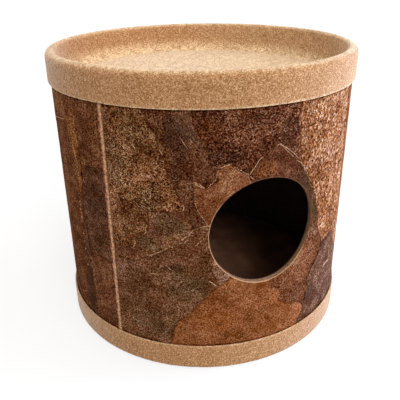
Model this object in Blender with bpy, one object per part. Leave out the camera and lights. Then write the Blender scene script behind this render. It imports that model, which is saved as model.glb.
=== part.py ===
"""Drum-shaped cat cave bed: a tray lid that lifts off, a round entrance, a hide patchwork and a floor pad.

Units are metres and +Z is up. The origin is on the floor under the drum's axis, and the entrance faces -Y.
Angles round the drum are in degrees from the entrance, positive to the right of someone facing it.
"""

import math
import random

import bmesh
import bpy
from mathutils import Matrix, Vector

# Flats round every turned piece, and the clearances between pieces
FACETS = 60
FIT = 0.0003
HOOP_CLEARANCE = 0.0006
SKIRT_CLEARANCE = 0.0006
HIDE_GAP = 0.0004
CUTTER_MARGIN = 0.0050

# Drum wall and what is on it: the radius is over the hides
DRUM_RADIUS = 0.2250
HIDE_THICKNESS = 0.0012
WALL_THICKNESS = 0.0050
LINING_THICKNESS = 0.0018
WALL_TOP = 0.3860

# Entrance
ENTRANCE_DIAMETER = 0.1520
ENTRANCE_HEIGHT = 0.2145
ENTRANCE_TRIM = 0.0008
ENTRANCE_FACETS = 48

# Seam strip, where the two ends of the hide wrap meet
SEAM_ANGLE = -55.9
SEAM_STRIP_WIDTH = 0.0060
SEAM_STRIP_THICKNESS = 0.0016
SEAM_GROOVE = 0.0018

# Base: the hides start a little above the felt band's rounded corner
BASE_FELT = 0.0024
BASE_BAND_HEIGHT = 0.0400
BASE_CORNER = 0.0045
HIDE_LIFT = 0.0075
BASE_TURN_UNDER = 0.0200
BASE_BOARD_THICKNESS = 0.0120
BASE_JOINT_ANGLE = -65.5
BASE_JOINT_WIDTH = 0.0010

# Lid: the rim stands on the wall's top edge, and its skirt laps over the hides
LID_FELT = 0.0024
RIM_HEIGHT = 0.0410
SKIRT_LAP = 0.0020
RIM_OUTER_ROUND = 0.0095
TRAY_DEPTH = 0.0460
TRAY_COVE = 0.0190
LID_BOARD_THICKNESS = 0.0090
LID_UNDERSIDE_THICKNESS = 0.0015
HOOP_THICKNESS = 0.0018
HOOP_REVEAL = 0.0055
LINING_GAP = 0.0060

# Floor pad: its clearance to the lining, the roll along its two seams, its crown and its drawn-in side
PAD_CLEARANCE = 0.0100
PAD_EDGE_HEIGHT = 0.0260
PAD_ROLL = 0.0050
PAD_CROWN = 0.0100
PAD_SIDE_DRAW = 0.0040
PAD_CROWN_STEPS = 4
PAD_FACETS = 48

# Torn edges: how far apart their kinks are, and how far each strays
TEAR_STEP = 0.0220
TEAR_DEPTH = 0.0010

# A corner drawn inwards moves no further than a turn of this sharpness would take it
SHARPEST_TURN = 0.3

# The entrance that the patchwork chart was drawn round, and how far a change of it carries
CHART_ENTRANCE_RADIUS = 0.0760
CHART_ENTRANCE_SHARE = 54.15
CHART_REACH = 0.0900
CHART_PIN = 15.0

SEAM_LEFT = "seam left"
SEAM_RIGHT = "seam right"
HUB = "entrance centre"

# Where three or more hides meet: degrees from the entrance, and height as a percentage of the wrap.
# The two sides of the seam stand for their own angles.
JUNCTIONS = {
    "top 1": (-39.9, 100),
    "top 2": (-25.1, 100),
    "top 3": (11.1, 100),
    "top 4": (43.2, 100),
    "top 5": (81, 100),
    "top 6": (116, 100),
    "top 7": (150, 100),
    "top 8": (187, 100),
    "top 9": (221, 100),
    "top 10": (248, 100),
    "top 11": (-76, 100),
    "top 12": (-68.9, 100),
    "bottom 1": (-34.8, 0),
    "bottom 2": (14.6, 0),
    "bottom 3": (54.9, 0),
    "bottom 4": (89.6, 0),
    "bottom 5": (130.4, 0),
    "bottom 6": (166.8, 0),
    "bottom 7": (203.7, 0),
    "bottom 8": (235.5, 0),
    "bottom 9": (-102.8, 0),
    "bottom 10": (-78.3, 0),
    "bottom 11": (-69.1, 0),
    "grey tip": (-28.1, 65.5),
    "grey foot": (-25, 57.5),
    "granular foot": (SEAM_RIGHT, 47.1),
    "olive shoulder": (SEAM_RIGHT, 42.8),
    "torn tan foot": (-20.5, 59.1),
    "torn tan notch": (-17.8, 77.7),
    "arch left": (-7.3, 76.5),
    "arch right": (12.6, 77.8),
    "arch end": (24.7, 48.1),
    "plum left": (28.6, 39.8),
    "plum right": (52.3, 26.7),
    "rust right": (19, 14.4),
    "rust left": (-16.4, 34.8),
    "left high": (-68.2, 74.3),
    "left tip": (-71.2, 61),
    "left low": (-68.9, 35.8),
    "seam high": (SEAM_LEFT, 76.2),
    "seam low": (SEAM_LEFT, 37.7),
    "curl right": (-76, 89),
    "curl left": (-99.7, 82.9),
    "back a": (76.4, 63.6),
    "back b": (84, 28.9),
    "back c": (117.6, 66.8),
    "back d": (124.8, 31),
    "back e": (152.8, 57),
    "back f": (160, 23.5),
    "back g": (189.7, 71.7),
    "back h": (196, 31.6),
    "back i": (221, 58.3),
    "back j": (229.2, 26.2),
}

# Each torn edge between two hides, from junction to junction
TEARS = {
    ("granular", "purple"): [
        "top 1", (-38.3, 93.6), (-36, 90.4), (-35.3, 86.4), (-33.7, 82.4), (-32.7, 77), (-30.7, 73),
        "grey tip",
    ],
    ("granular", "grey"): [
        "grey tip", (-31.4, 64.2), (-39.9, 63.6), (-40.4, 56.1), (-42.4, 55.1), (-45.5, 52.1),
        (-45.7, 49.2),
        (-47.5, 47.6), "granular foot",
    ],
    ("grey", "purple"): ["grey tip", (-26.9, 62), "grey foot"],
    ("grey", "olive"): [
        "grey foot", (-27.6, 54.8), (-30.2, 51.6), (-33.5, 50), (-35.3, 48.4), (-37.8, 47.6), (-39.6, 46),
        (-42.9, 44.1), (-46.2, 42), "olive shoulder",
    ],
    ("purple", "olive"): ["grey foot", (-22.5, 58.6), "torn tan foot"],
    ("purple", "torn_tan"): [
        "torn tan foot", (-23, 63.9), (-24.8, 68.2), (-24.6, 75.1), (-23.3, 75.4), (-21, 72.7),
        (-19.5, 73.5),
        (-17.4, 74.9), (-16.8, 76.2), "torn tan notch",
    ],
    ("cracked", "torn_tan"): [
        "torn tan notch", (-17.4, 78.9), (-15.4, 79.7), (-15.2, 81.3), (-13.6, 81.3), (-10.6, 79.4),
        (-9.5, 78.1), "arch left",
    ],
    ("purple", "cracked"): [
        "top 2", (-24.6, 95.2), (-23, 90.9), (-20.5, 87.7), (-20, 82.4), "torn tan notch",
    ],
    ("cracked", "arch"): [
        "arch left", (-3.4, 82.1), (0.4, 84.5), (2.9, 86.4), (5.5, 84.5), (9.3, 80.5), "arch right",
    ],
    ("cracked", "copper"): ["top 3", (10.8, 94.4), (11.1, 89), (12.1, 83.7), "arch right"],
    ("arch", "copper"): [
        "arch right", (15.7, 72.7), (19.5, 65.8), (21.3, 62.3), (23, 57), (24.3, 51.6), "arch end",
    ],
    ("arch", "torn_tan"): ["arch left", HUB],
    ("arch", "russet"): ["arch end", (21.8, 49.7), HUB],
    ("torn_tan", "olive"): ["torn tan foot", HUB],
    ("copper", "russet"): ["arch end", (26.6, 44.4), "plum left"],
    ("copper", "plum"): [
        "plum left", (32.2, 40.4), (35.3, 41.4), (38.6, 40.1), (40.6, 36.9), (42.7, 32.9),
        (46.2, 28.9), "plum right",
    ],
    ("copper", "back_1"): ["top 4", (43.7, 77), (44.9, 61), (48, 42.2), "plum right"],
    ("plum", "back_2"): ["plum right", (56.7, 12.8), "bottom 3"],
    ("russet", "plum"): ["plum left", (26.1, 34.2), (22.3, 30.2), (20.2, 25.7), (20.8, 22.2), "rust right"],
    ("plum", "rust"): ["rust right", (18, 11.2), (16.2, 9.1), "bottom 2"],
    ("rust", "russet"): [
        "rust right", (18.2, 16), (15.7, 17.9), (12.6, 19), (9.3, 20.9), (5.7, 23.3), (7.3, 25.7),
        (5.5, 28.3), (2.2, 30.7), HUB,
    ],
    ("rust", "sliver"): ["rust left", (-13.6, 36.4), HUB],
    ("olive", "sliver"): ["rust left", (-17.2, 36.9), (-18.7, 40.1), (-19.7, 43.9), HUB],
    ("olive", "rust"): [
        "rust left", (-20, 31), (-24.3, 25.7), (-27.6, 21.4), (-31.4, 18.2), (-32, 16), (-33.5, 10.2),
        "bottom 1",
    ],
    ("left_tan", "left_upper"): ["top 12", (-69.3, 89), (-68.8, 81), "left high"],
    ("left_tan", "left_middle"): ["left high", (-68.9, 67.6), "left tip"],
    ("left_upper", "left_middle"): ["left high", (-62.3, 75.1), "seam high"],
    ("left_middle", "left_dark"): ["left tip", (-69.4, 50.3), "left low"],
    ("left_middle", "left_lower"): ["left low", (-66.3, 38.2), (-61, 39), "seam low"],
    ("left_dark", "left_lower"): ["left low", (-68.6, 20.9), "bottom 11"],
    ("side_red", "left_dark"): [
        "left tip", (-71.9, 47.6), (-72.7, 36.9), (-74.5, 26.2), (-76.3, 18.2), (-77, 10.2), "bottom 10",
    ],
    ("left_tan", "side_upper"): ["top 11", "curl right"],
    ("left_tan", "side_red"): [
        "curl right", (-75.2, 82.4), (-73.7, 77), (-72.2, 71.7), (-71.4, 65.8), "left tip",
    ],
    ("side_red", "side_upper"): ["curl right", (-80.9, 89.6), (-87.2, 87.2), (-93.6, 85), "curl left"],
    ("side_red", "back_12"): ["curl left", (-101.2, 61), (-98.7, 36.9), (-100.7, 18.2), "bottom 9"],
    ("side_upper", "back_11"): ["top 10", (252.5, 91.5), "curl left"],
    ("back_1", "back_3"): ["top 5", (83, 84), (80.5, 73), "back a"],
    ("back_1", "back_2"): ["plum right", (62, 38), (68, 57), "back a"],
    ("back_2", "back_4"): ["back a", (83, 52), (81.5, 40), "back b"],
    ("back_2", "back_5"): ["back b", (90.5, 15), "bottom 4"],
    ("back_3", "back_4"): ["back a", (90, 67.5), (104, 63), "back c"],
    ("back_3", "back_6"): ["top 6", (119.5, 82), "back c"],
    ("back_4", "back_7"): ["back c", (122, 50), "back d"],
    ("back_4", "back_5"): ["back b", (98, 26), (112, 34), "back d"],
    ("back_5", "back_7"): ["back d", (131.5, 18), "bottom 5"],
    ("back_6", "back_7"): ["back c", (130, 61), (143, 63), "back e"],
    ("back_6", "back_8"): ["top 7", (154.5, 79), "back e"],
    ("back_7", "back_8"): ["back e", (155, 41), "back f"],
    ("back_7", "back_9"): ["back f", (164.5, 12), "bottom 6"],
    ("back_8", "back_10"): ["top 8", (184, 86), "back g"],
    ("back_8", "back_9"): ["back f", (173, 30), (186, 27), "back h"],
    ("back_8", "back_13"): ["back g", (195, 52), "back h"],
    ("back_9", "back_13"): ["back h", (201, 15), "bottom 7"],
    ("back_10", "back_11"): ["top 9", (223, 80), "back i"],
    ("back_10", "back_13"): ["back g", (204, 66), "back i"],
    ("back_11", "back_12"): ["back i", (238, 68), (250, 74), "curl left"],
    ("back_12", "back_13"): ["back i", (229, 42), "back j"],
    ("back_12", "back_14"): ["back j", (240, 12), "bottom 8"],
    ("back_13", "back_14"): ["back j", (219, 22), "bottom 7"],
}

# Straight cut edges at the seam's four corners; any other straight edge closes its hide by itself
CUTS = {
    "granular": ["granular foot", (SEAM_RIGHT, 100), "top 1"],
    "olive": ["olive shoulder", (SEAM_RIGHT, 0), "bottom 1"],
    "left_upper": ["seam high", (SEAM_LEFT, 100), "top 12"],
    "left_lower": ["seam low", (SEAM_LEFT, 0), "bottom 11"],
}

# Colour of each hide
HIDE_COLOURS = {
    "granular": (0.30, 0.19, 0.10),
    "purple": (0.17, 0.10, 0.075),
    "cracked": (0.17, 0.085, 0.06),
    "grey": (0.25, 0.16, 0.11),
    "torn_tan": (0.42, 0.22, 0.11),
    "arch": (0.27, 0.13, 0.08),
    "copper": (0.48, 0.27, 0.16),
    "olive": (0.20, 0.12, 0.075),
    "sliver": (0.34, 0.17, 0.10),
    "rust": (0.42, 0.18, 0.07),
    "russet": (0.30, 0.14, 0.09),
    "plum": (0.28, 0.18, 0.16),
    "left_upper": (0.20, 0.10, 0.06),
    "left_middle": (0.13, 0.07, 0.05),
    "left_lower": (0.21, 0.11, 0.065),
    "left_tan": (0.30, 0.17, 0.09),
    "left_dark": (0.10, 0.055, 0.04),
    "side_red": (0.24, 0.11, 0.065),
    "side_upper": (0.28, 0.15, 0.085),
    "back_1": (0.26, 0.13, 0.08),
    "back_2": (0.21, 0.13, 0.085),
    "back_3": (0.38, 0.20, 0.11),
    "back_4": (0.16, 0.09, 0.06),
    "back_5": (0.36, 0.16, 0.07),
    "back_6": (0.22, 0.12, 0.08),
    "back_7": (0.29, 0.18, 0.10),
    "back_8": (0.18, 0.09, 0.065),
    "back_9": (0.26, 0.17, 0.14),
    "back_10": (0.33, 0.20, 0.11),
    "back_11": (0.19, 0.11, 0.08),
    "back_12": (0.31, 0.15, 0.08),
    "back_13": (0.24, 0.14, 0.09),
    "back_14": (0.17, 0.10, 0.07),
}

FELT_CAMEL = (0.45, 0.29, 0.16)
FELT_DARK = (0.10, 0.065, 0.05)
BOARD_TAN = (0.50, 0.33, 0.19)
PLY = (0.55, 0.40, 0.25)
STRIP_TAN = (0.52, 0.31, 0.18)
PAD_BROWN = (0.14, 0.08, 0.055)
FOAM = (0.62, 0.56, 0.45)

# Drum sizes that follow from the ones above
FACET_ANGLE = 2 * math.pi / FACETS
HIDE_INNER = DRUM_RADIUS - HIDE_THICKNESS
WRAP_OUTER = HIDE_INNER + max(HIDE_THICKNESS, SEAM_STRIP_THICKNESS)
WALL_OUTER = HIDE_INNER - FIT
WALL_INNER = WALL_OUTER - WALL_THICKNESS
WALL_BOTTOM = BASE_FELT + FIT
LINING_OUTER = WALL_INNER - FIT
LINING_INNER = LINING_OUTER - LINING_THICKNESS
ENTRANCE_RADIUS = ENTRANCE_DIAMETER / 2

# Base sizes that follow: its corner is limited by the felt outside it and the wall inside it
BASE_RADIUS = WRAP_OUTER + FIT + BASE_FELT
BASE_ROUND = min(max(BASE_CORNER, BASE_FELT + FIT), BASE_RADIUS - WALL_OUTER)
BOARD_TOP = WALL_BOTTOM + BASE_BOARD_THICKNESS
HIDE_BOTTOM = BASE_ROUND + HIDE_LIFT

# Lid sizes that follow: the hoop drops inside the wall, and the tray is moulded inside the hoop
LID_RADIUS = WRAP_OUTER + SKIRT_CLEARANCE + LID_FELT
LID_TOP = WALL_TOP + RIM_HEIGHT
SKIRT_LOW = WALL_TOP - SKIRT_LAP
HOOP_OUTER = WALL_INNER - HOOP_CLEARANCE
HOOP_INNER = HOOP_OUTER - HOOP_THICKNESS
TRAY_RADIUS = HOOP_INNER - FIT - LID_FELT
TRAY_FLOOR = LID_TOP - TRAY_DEPTH
RIM_WIDTH = LID_RADIUS - TRAY_RADIUS
OUTER_ROUND = min(RIM_OUTER_ROUND, RIM_WIDTH - LID_FELT - 2 * FIT)
INNER_ROUND = RIM_WIDTH - OUTER_ROUND
CROWN_RADIUS = TRAY_RADIUS + INNER_ROUND
OUTER_ROUND_CENTRE = LID_TOP - OUTER_ROUND
INNER_ROUND_CENTRE = LID_TOP - INNER_ROUND
LID_BOARD_RADIUS = HOOP_INNER - FIT
LID_BOARD_TOP = TRAY_FLOOR - LID_FELT - FIT
LID_BOARD_BOTTOM = LID_BOARD_TOP - LID_BOARD_THICKNESS
LID_UNDERSIDE_TOP = LID_BOARD_BOTTOM - FIT
LID_UNDERSIDE_LOW = LID_UNDERSIDE_TOP - LID_UNDERSIDE_THICKNESS
HOOP_LOW = LID_UNDERSIDE_LOW - HOOP_REVEAL
LINING_TOP = HOOP_LOW - LINING_GAP
PAD_RADIUS = LINING_INNER - PAD_CLEARANCE


def clear_scene():
    """Remove the objects that the scene starts with."""
    for obj in list(bpy.data.objects):
        bpy.data.objects.remove(obj, do_unlink=True)


def finish(name, colour, roughness):
    """Make a non-metal surface of one colour."""
    material = bpy.data.materials.new(name)
    material.use_nodes = True
    shader = material.node_tree.nodes["Principled BSDF"]
    shader.inputs["Base Color"].default_value = (*colour, 1)
    shader.inputs["Roughness"].default_value = roughness
    shader.inputs["Metallic"].default_value = 0
    return material


def add_object(name, bm, material, origin=(0, 0, 0), parent=None):
    """Turn a bmesh in world coordinates into a named object whose origin is where it is asked for."""
    bmesh.ops.translate(bm, verts=bm.verts, vec=-Vector(origin))
    mesh = bpy.data.meshes.new(name)
    bm.to_mesh(mesh)
    bm.free()
    mesh.materials.append(material)
    mesh.shade_smooth()
    mesh.set_sharp_from_angle(angle=math.radians(30))
    obj = bpy.data.objects.new(name, mesh)
    bpy.context.collection.objects.link(obj)
    obj.parent = parent
    obj.location = Vector(origin) - (parent.location if parent else Vector())
    return obj


def add_empty(name, height):
    """Place the handle of a moving sub-assembly on the drum's axis."""
    empty = bpy.data.objects.new(name, None)
    bpy.context.collection.objects.link(empty)
    empty.location = (0, 0, height)
    return empty


def arc(centre_radius, centre_height, radius, start, end, steps):
    """Points of a profile's round corner, from one angle to another in degrees."""
    angles = [math.radians(start + (end - start) * i / steps) for i in range(steps + 1)]
    return [(centre_radius + radius * math.cos(a), centre_height + radius * math.sin(a)) for a in angles]


def turned(name, profile, material, parent=None, facets=FACETS):
    """Turn a closed profile of (radius, height) points round the drum's axis."""
    bm = bmesh.new()
    points = [bm.verts.new((radius, 0, height)) for radius, height in profile]
    edges = [bm.edges.new((points[i - 1], points[i])) for i in range(len(points))]
    on_axis = profile[0][0] == 0 and profile[-1][0] == 0
    if on_axis:
        bm.edges.remove(edges.pop(0))
    bmesh.ops.spin(
        bm,
        geom=points + edges,
        axis=(0, 0, 1),
        cent=(0, 0, 0),
        angle=2 * math.pi,
        steps=facets,
        use_merge=True,
    )
    bmesh.ops.remove_doubles(bm, verts=bm.verts, dist=1e-6)
    bmesh.ops.recalc_face_normals(bm, faces=bm.faces)
    return add_object(name, bm, material, (0, 0, min(height for _, height in profile)), parent)


def disc(name, radius, low, high, material, parent=None):
    """A flat round board or sheet."""
    return turned(name, [(0, low), (radius, low), (radius, high), (0, high)], material, parent)


def ring(name, inner, outer, low, high, material, parent=None):
    """A plain hoop or tube."""
    return turned(name, [(inner, low), (outer, low), (outer, high), (inner, high)], material, parent)


def cutter_object(name, bm):
    """A hidden object that only cuts others."""
    bmesh.ops.recalc_face_normals(bm, faces=bm.faces)
    cutter = add_object(name, bm, finish(name, PLY, 0.5))
    cutter.hide_render = True
    cutter.display_type = "WIRE"
    return cutter


def cut(obj, cutter, solver="EXACT"):
    """Take the cutter's shape out of an object."""
    modifier = obj.modifiers.new("cut_" + cutter.name, "BOOLEAN")
    modifier.operation = "DIFFERENCE"
    modifier.solver = solver
    modifier.object = cutter


def entrance_cutter(name, radius):
    """A round bar that runs out through the front of the drum at the entrance."""
    bm = bmesh.new()
    bmesh.ops.create_cone(
        bm, cap_ends=True, segments=ENTRANCE_FACETS, radius1=radius, radius2=radius, depth=DRUM_RADIUS
    )
    bmesh.ops.rotate(bm, verts=bm.verts, matrix=Matrix.Rotation(math.pi / 2, 3, "X"))
    bmesh.ops.translate(bm, verts=bm.verts, vec=(0, -DRUM_RADIUS, ENTRANCE_HEIGHT))
    return cutter_object(name, bm)


def joint_cutter():
    """A thin blade that parts the base band where its two ends butt."""
    bm = bmesh.new()
    bmesh.ops.create_cube(bm, size=1)
    depth = 2 * (BASE_TURN_UNDER + CUTTER_MARGIN)
    height = 2 * (BASE_BAND_HEIGHT + CUTTER_MARGIN)
    bmesh.ops.scale(bm, verts=bm.verts, vec=(BASE_JOINT_WIDTH, depth, height))
    bmesh.ops.translate(bm, verts=bm.verts, vec=(0, -BASE_RADIUS, 0))
    bmesh.ops.rotate(bm, verts=bm.verts, matrix=Matrix.Rotation(math.radians(BASE_JOINT_ANGLE), 3, "Z"))
    return cutter_object("base_joint_blade", bm)


def seam_angle(side):
    """Angle in degrees of the hide wrap's end on one side of the seam strip."""
    half_strip = SEAM_STRIP_WIDTH / 2
    away = half_strip + SEAM_GROOVE if side == SEAM_RIGHT else -half_strip - FIT
    return SEAM_ANGLE + math.degrees(away / DRUM_RADIUS)


def chart_point(place, near):
    """Flat (arc, height) of a point on the patchwork chart, within half a turn of the angle it is near."""
    if place == HUB:
        turns = round(near / 360)
        return Vector((math.radians(360 * turns) * DRUM_RADIUS, ENTRANCE_HEIGHT))
    angle, share = JUNCTIONS.get(place, place)
    if angle in (SEAM_LEFT, SEAM_RIGHT):
        angle = seam_angle(angle)
    angle = near + (angle - near + 180) % 360 - 180
    wrap_height = WALL_TOP - HIDE_BOTTOM
    point = Vector((math.radians(angle) * DRUM_RADIUS, HIDE_BOTTOM + share / 100 * wrap_height))
    charted = Vector((0, HIDE_BOTTOM + CHART_ENTRANCE_SHARE / 100 * wrap_height))
    away = point - charted
    fade = min(1, max(0, 1 - (away.length - CHART_ENTRANCE_RADIUS) / CHART_REACH))
    fade *= min(1, share / CHART_PIN, (100 - share) / CHART_PIN)
    outward = away.normalized() * (ENTRANCE_RADIUS - CHART_ENTRANCE_RADIUS)
    return point + fade * (Vector((0, ENTRANCE_HEIGHT)) - charted + outward)


def torn_line(hides, near):
    """A torn edge with its small kinks, the same from both of its hides."""
    noise = random.Random("|".join(hides))
    places = TEARS[hides]
    line = [chart_point(places[0], near)]
    for place in places[1:]:
        start, end = line[-1], chart_point(place, near)
        kinks = int((end - start).length / TEAR_STEP)
        across = (end - start).normalized().orthogonal()
        for i in range(kinks):
            along = start.lerp(end, (i + 1) / (kinks + 1))
            line.append(along + across * noise.uniform(-TEAR_DEPTH, TEAR_DEPTH))
        line.append(end)
    return line


def same(first, second):
    """Whether two chart points are one junction."""
    return (first - second).length < 1e-6


def outline(hide):
    """Closed outline of a hide, chained from its torn and cut edges. A straight edge joins any free ends."""
    tears = [hides for hides in TEARS if hide in hides]
    first = JUNCTIONS[TEARS[tears[0]][0]][0]
    near = seam_angle(first) if isinstance(first, str) else first
    lines = [torn_line(hides, near) for hides in tears]
    if hide in CUTS:
        lines.append([chart_point(place, near) for place in CUTS[hide]])
    lines += [line[::-1] for line in lines]
    free = [line for line in lines if sum(same(line[0], other[0]) for other in lines) == 1]
    loop = list(free[0] if free else lines[0])
    for _ in range(len(lines) // 2 - 1):
        following = [line for line in lines if same(line[0], loop[-1]) and not same(line[1], loop[-2])]
        loop += following[0][1:]
    return loop[:-1] if same(loop[0], loop[-1]) else loop


def area_of(loop):
    """Signed area of a flat loop, positive when it runs anticlockwise."""
    return sum(loop[i - 1].cross(loop[i]) for i in range(len(loop))) / 2


def drawn_in(loop, distance):
    """The loop moved inwards by a distance, so that neighbouring hides keep a gap."""
    if area_of(loop) < 0:
        loop = loop[::-1]
    result = []
    for i, point in enumerate(loop):
        before = (point - loop[i - 1]).normalized()
        after = (loop[(i + 1) % len(loop)] - point).normalized()
        inward = Vector((-before.y, before.x)) + Vector((-after.y, after.x))
        stretch = max(inward.length_squared / 2, SHARPEST_TURN)
        result.append(point + inward * (distance / stretch))
    return result


def flat_radius(angle, radius):
    """Distance from the axis to a facet of that corner radius, at an angle."""
    middle = (math.floor(angle / FACET_ANGLE) + 0.5) * FACET_ANGLE
    return radius * math.cos(FACET_ANGLE / 2) / math.cos(angle - middle)


def wrap(vert, radius):
    """Move a flat vertex onto the drum at a corner radius."""
    angle = vert.co.x / DRUM_RADIUS
    away = flat_radius(angle, radius)
    vert.co = Vector((away * math.sin(angle), -away * math.cos(angle), vert.co.y))


def upright(edge):
    """Whether an edge of the flat sheet runs straight up, as each line between two facets does."""
    return abs(edge.verts[0].co.x - edge.verts[1].co.x) < 1e-6


def scored_sheet(loop):
    """A flat sheet of that outline, scored into one strip for each facet of the drum."""
    bm = bmesh.new()
    bm.faces.new([bm.verts.new((point.x, point.y, 0)) for point in loop])
    bmesh.ops.triangulate(bm, faces=bm.faces)
    facet_width = FACET_ANGLE * DRUM_RADIUS
    lowest = math.ceil(min(point.x for point in loop) / facet_width)
    highest = math.floor(max(point.x for point in loop) / facet_width)
    for i in range(lowest, highest + 1):
        bmesh.ops.bisect_plane(
            bm,
            geom=bm.verts[:] + bm.edges[:] + bm.faces[:],
            dist=1e-6,
            plane_co=(i * facet_width, 0, 0),
            plane_no=(1, 0, 0),
        )
    within_strips = [edge for edge in bm.edges if not edge.is_boundary and not upright(edge)]
    bmesh.ops.dissolve_edges(bm, edges=within_strips, use_verts=False)
    idle = [vert for vert in bm.verts if len(vert.link_edges) == 2 and not vert.is_boundary]
    bmesh.ops.dissolve_verts(bm, verts=idle)
    bmesh.ops.triangulate(bm, faces=bm.faces)
    return bm


def wrapped_sheet(name, loop, radius, thickness, material):
    """Cut a flat outline from sheet of a thickness and bend it round the drum, facet by facet."""
    bm = scored_sheet(loop)
    border = [edge.link_loops[0] for edge in bm.edges if edge.is_boundary]
    border = [(loop.vert, loop.link_loop_next.vert) for loop in border]
    inside = bm.verts[:]
    inner_faces = bm.faces[:]
    copy = bmesh.ops.duplicate(bm, geom=bm.verts[:] + bm.edges[:] + bm.faces[:])["vert_map"]
    for first, second in border:
        bm.faces.new((copy[second], copy[first], first, second))
    bmesh.ops.reverse_faces(bm, faces=inner_faces)
    outside = [copy[vert] for vert in inside]
    for vert in inside:
        wrap(vert, radius)
    for vert in outside:
        wrap(vert, radius + thickness)
    return add_object(name, bm, material)


def build_base():
    """The felt band that turns under the drum, the sheet within it and the floor board."""
    camel = finish("needled_felt_base", FELT_CAMEL, 0.95)
    outer_corner = arc(BASE_RADIUS - BASE_ROUND, BASE_ROUND, BASE_ROUND, 0, -90, 3)
    inner_corner = arc(BASE_RADIUS - BASE_ROUND, BASE_ROUND, BASE_ROUND - BASE_FELT, -90, 0, 2)
    under = BASE_RADIUS - BASE_TURN_UNDER
    profile = [(BASE_RADIUS, BASE_BAND_HEIGHT), *outer_corner, (under, 0), (under, BASE_FELT), *inner_corner]
    profile.append((BASE_RADIUS - BASE_FELT, BASE_BAND_HEIGHT))
    band = turned("base_band", profile, camel)
    cut(band, joint_cutter())
    disc("base_underside", under - FIT, 0, BASE_FELT, finish("underside_felt", FELT_DARK, 0.95))
    disc("base_board", WALL_INNER - FIT, WALL_BOTTOM, BOARD_TOP, finish("base_ply", PLY, 0.7))


def build_drum(trim_cutter):
    """The board tube and its lining, with the entrance through both."""
    board = finish("tube_board", BOARD_TAN, 0.85)
    wall = ring("drum_wall", WALL_INNER, WALL_OUTER, WALL_BOTTOM, WALL_TOP, board)
    cut(wall, entrance_cutter("entrance_bar", ENTRANCE_RADIUS))
    felt = finish("lining_felt", FELT_DARK, 0.95)
    lining = ring("wall_lining", LINING_INNER, LINING_OUTER, BOARD_TOP + FIT, LINING_TOP, felt)
    cut(lining, trim_cutter)


def build_hides(trim_cutter):
    """The patchwork of torn hides, each a sheet bent round the drum, and the strip over their seam."""
    for hide, colour in HIDE_COLOURS.items():
        loop = drawn_in(outline(hide), HIDE_GAP / 2)
        material = finish("hide_" + hide, colour, 0.8)
        sheet = wrapped_sheet("hide_" + hide, loop, HIDE_INNER, HIDE_THICKNESS, material)
        if any(hide in hides and HUB in places for hides, places in TEARS.items()):
            # The exact solver leaves a thin sheet open where the cut meets a line between facets
            cut(sheet, trim_cutter, "MANIFOLD")
    middle = math.radians(SEAM_ANGLE) * DRUM_RADIUS
    sides = (middle - SEAM_STRIP_WIDTH / 2, middle + SEAM_STRIP_WIDTH / 2)
    foot = [Vector((side, HIDE_BOTTOM)) for side in sides]
    head = [Vector((side, WALL_TOP)) for side in reversed(sides)]
    strip = finish("seam_strip", STRIP_TAN, 0.85)
    wrapped_sheet("seam_strip", foot + head, HIDE_INNER, SEAM_STRIP_THICKNESS, strip)


def cover_profile():
    """The lid cover's floor, coved tray, rolled rim and skirt: its hidden face first, then over the top."""
    cove = min(TRAY_COVE, INNER_ROUND_CENTRE - TRAY_FLOOR)
    cove_radius = TRAY_RADIUS - cove
    cove_height = TRAY_FLOOR + cove
    return [
        (0, TRAY_FLOOR - LID_FELT),
        *arc(cove_radius, cove_height, cove + LID_FELT, -90, 0, 3),
        *arc(CROWN_RADIUS, INNER_ROUND_CENTRE, INNER_ROUND - LID_FELT, 180, 90, 2),
        *arc(CROWN_RADIUS, OUTER_ROUND_CENTRE, OUTER_ROUND - LID_FELT, 90, 0, 3)[1:],
        (LID_RADIUS - LID_FELT, SKIRT_LOW),
        (LID_RADIUS, SKIRT_LOW),
        *arc(CROWN_RADIUS, OUTER_ROUND_CENTRE, OUTER_ROUND, 0, 90, 4),
        *arc(CROWN_RADIUS, INNER_ROUND_CENTRE, INNER_ROUND, 90, 180, 3)[1:],
        *arc(cove_radius, cove_height, cove, 0, -90, 4),
        (0, TRAY_FLOOR),
    ]


def build_lid(parent):
    """The tray lid: felt cover, rim core on the wall's top edge, locating hoop, board and underside."""
    turned("lid_cover", cover_profile(), finish("needled_felt_lid", FELT_CAMEL, 0.95), parent)
    core_inner = HOOP_OUTER + FIT
    core_low = WALL_TOP + FIT
    core_round = OUTER_ROUND - LID_FELT - FIT
    inner_round = INNER_ROUND - LID_FELT - FIT
    crown = arc(CROWN_RADIUS, OUTER_ROUND_CENTRE, core_round, 0, 90, 3)
    inner_top = INNER_ROUND_CENTRE + math.sqrt(max(inner_round**2 - (CROWN_RADIUS - core_inner) ** 2, 0))
    core = [(core_inner, core_low), (CROWN_RADIUS + core_round, core_low), *crown, (core_inner, inner_top)]
    turned("lid_rim_core", core, finish("rim_foam", FOAM, 0.9), parent)
    board = finish("hoop_board", BOARD_TAN, 0.85)
    ring("lid_hoop", HOOP_INNER, HOOP_OUTER, HOOP_LOW, INNER_ROUND_CENTRE, board, parent)
    disc("lid_board", LID_BOARD_RADIUS, LID_BOARD_BOTTOM, LID_BOARD_TOP, finish("lid_ply", PLY, 0.7), parent)
    felt = finish("lid_underside_felt", FELT_DARK, 0.95)
    disc("lid_underside", LID_BOARD_RADIUS, LID_UNDERSIDE_LOW, LID_UNDERSIDE_TOP, felt, parent)


def pad_crown(radius, height):
    """The pad's domed top, from its upper seam in to the middle."""
    shares = [1 - step / PAD_CROWN_STEPS for step in range(1, PAD_CROWN_STEPS + 1)]
    return [(radius * share, height + PAD_CROWN * (1 - share**2)) for share in shares]


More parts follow.
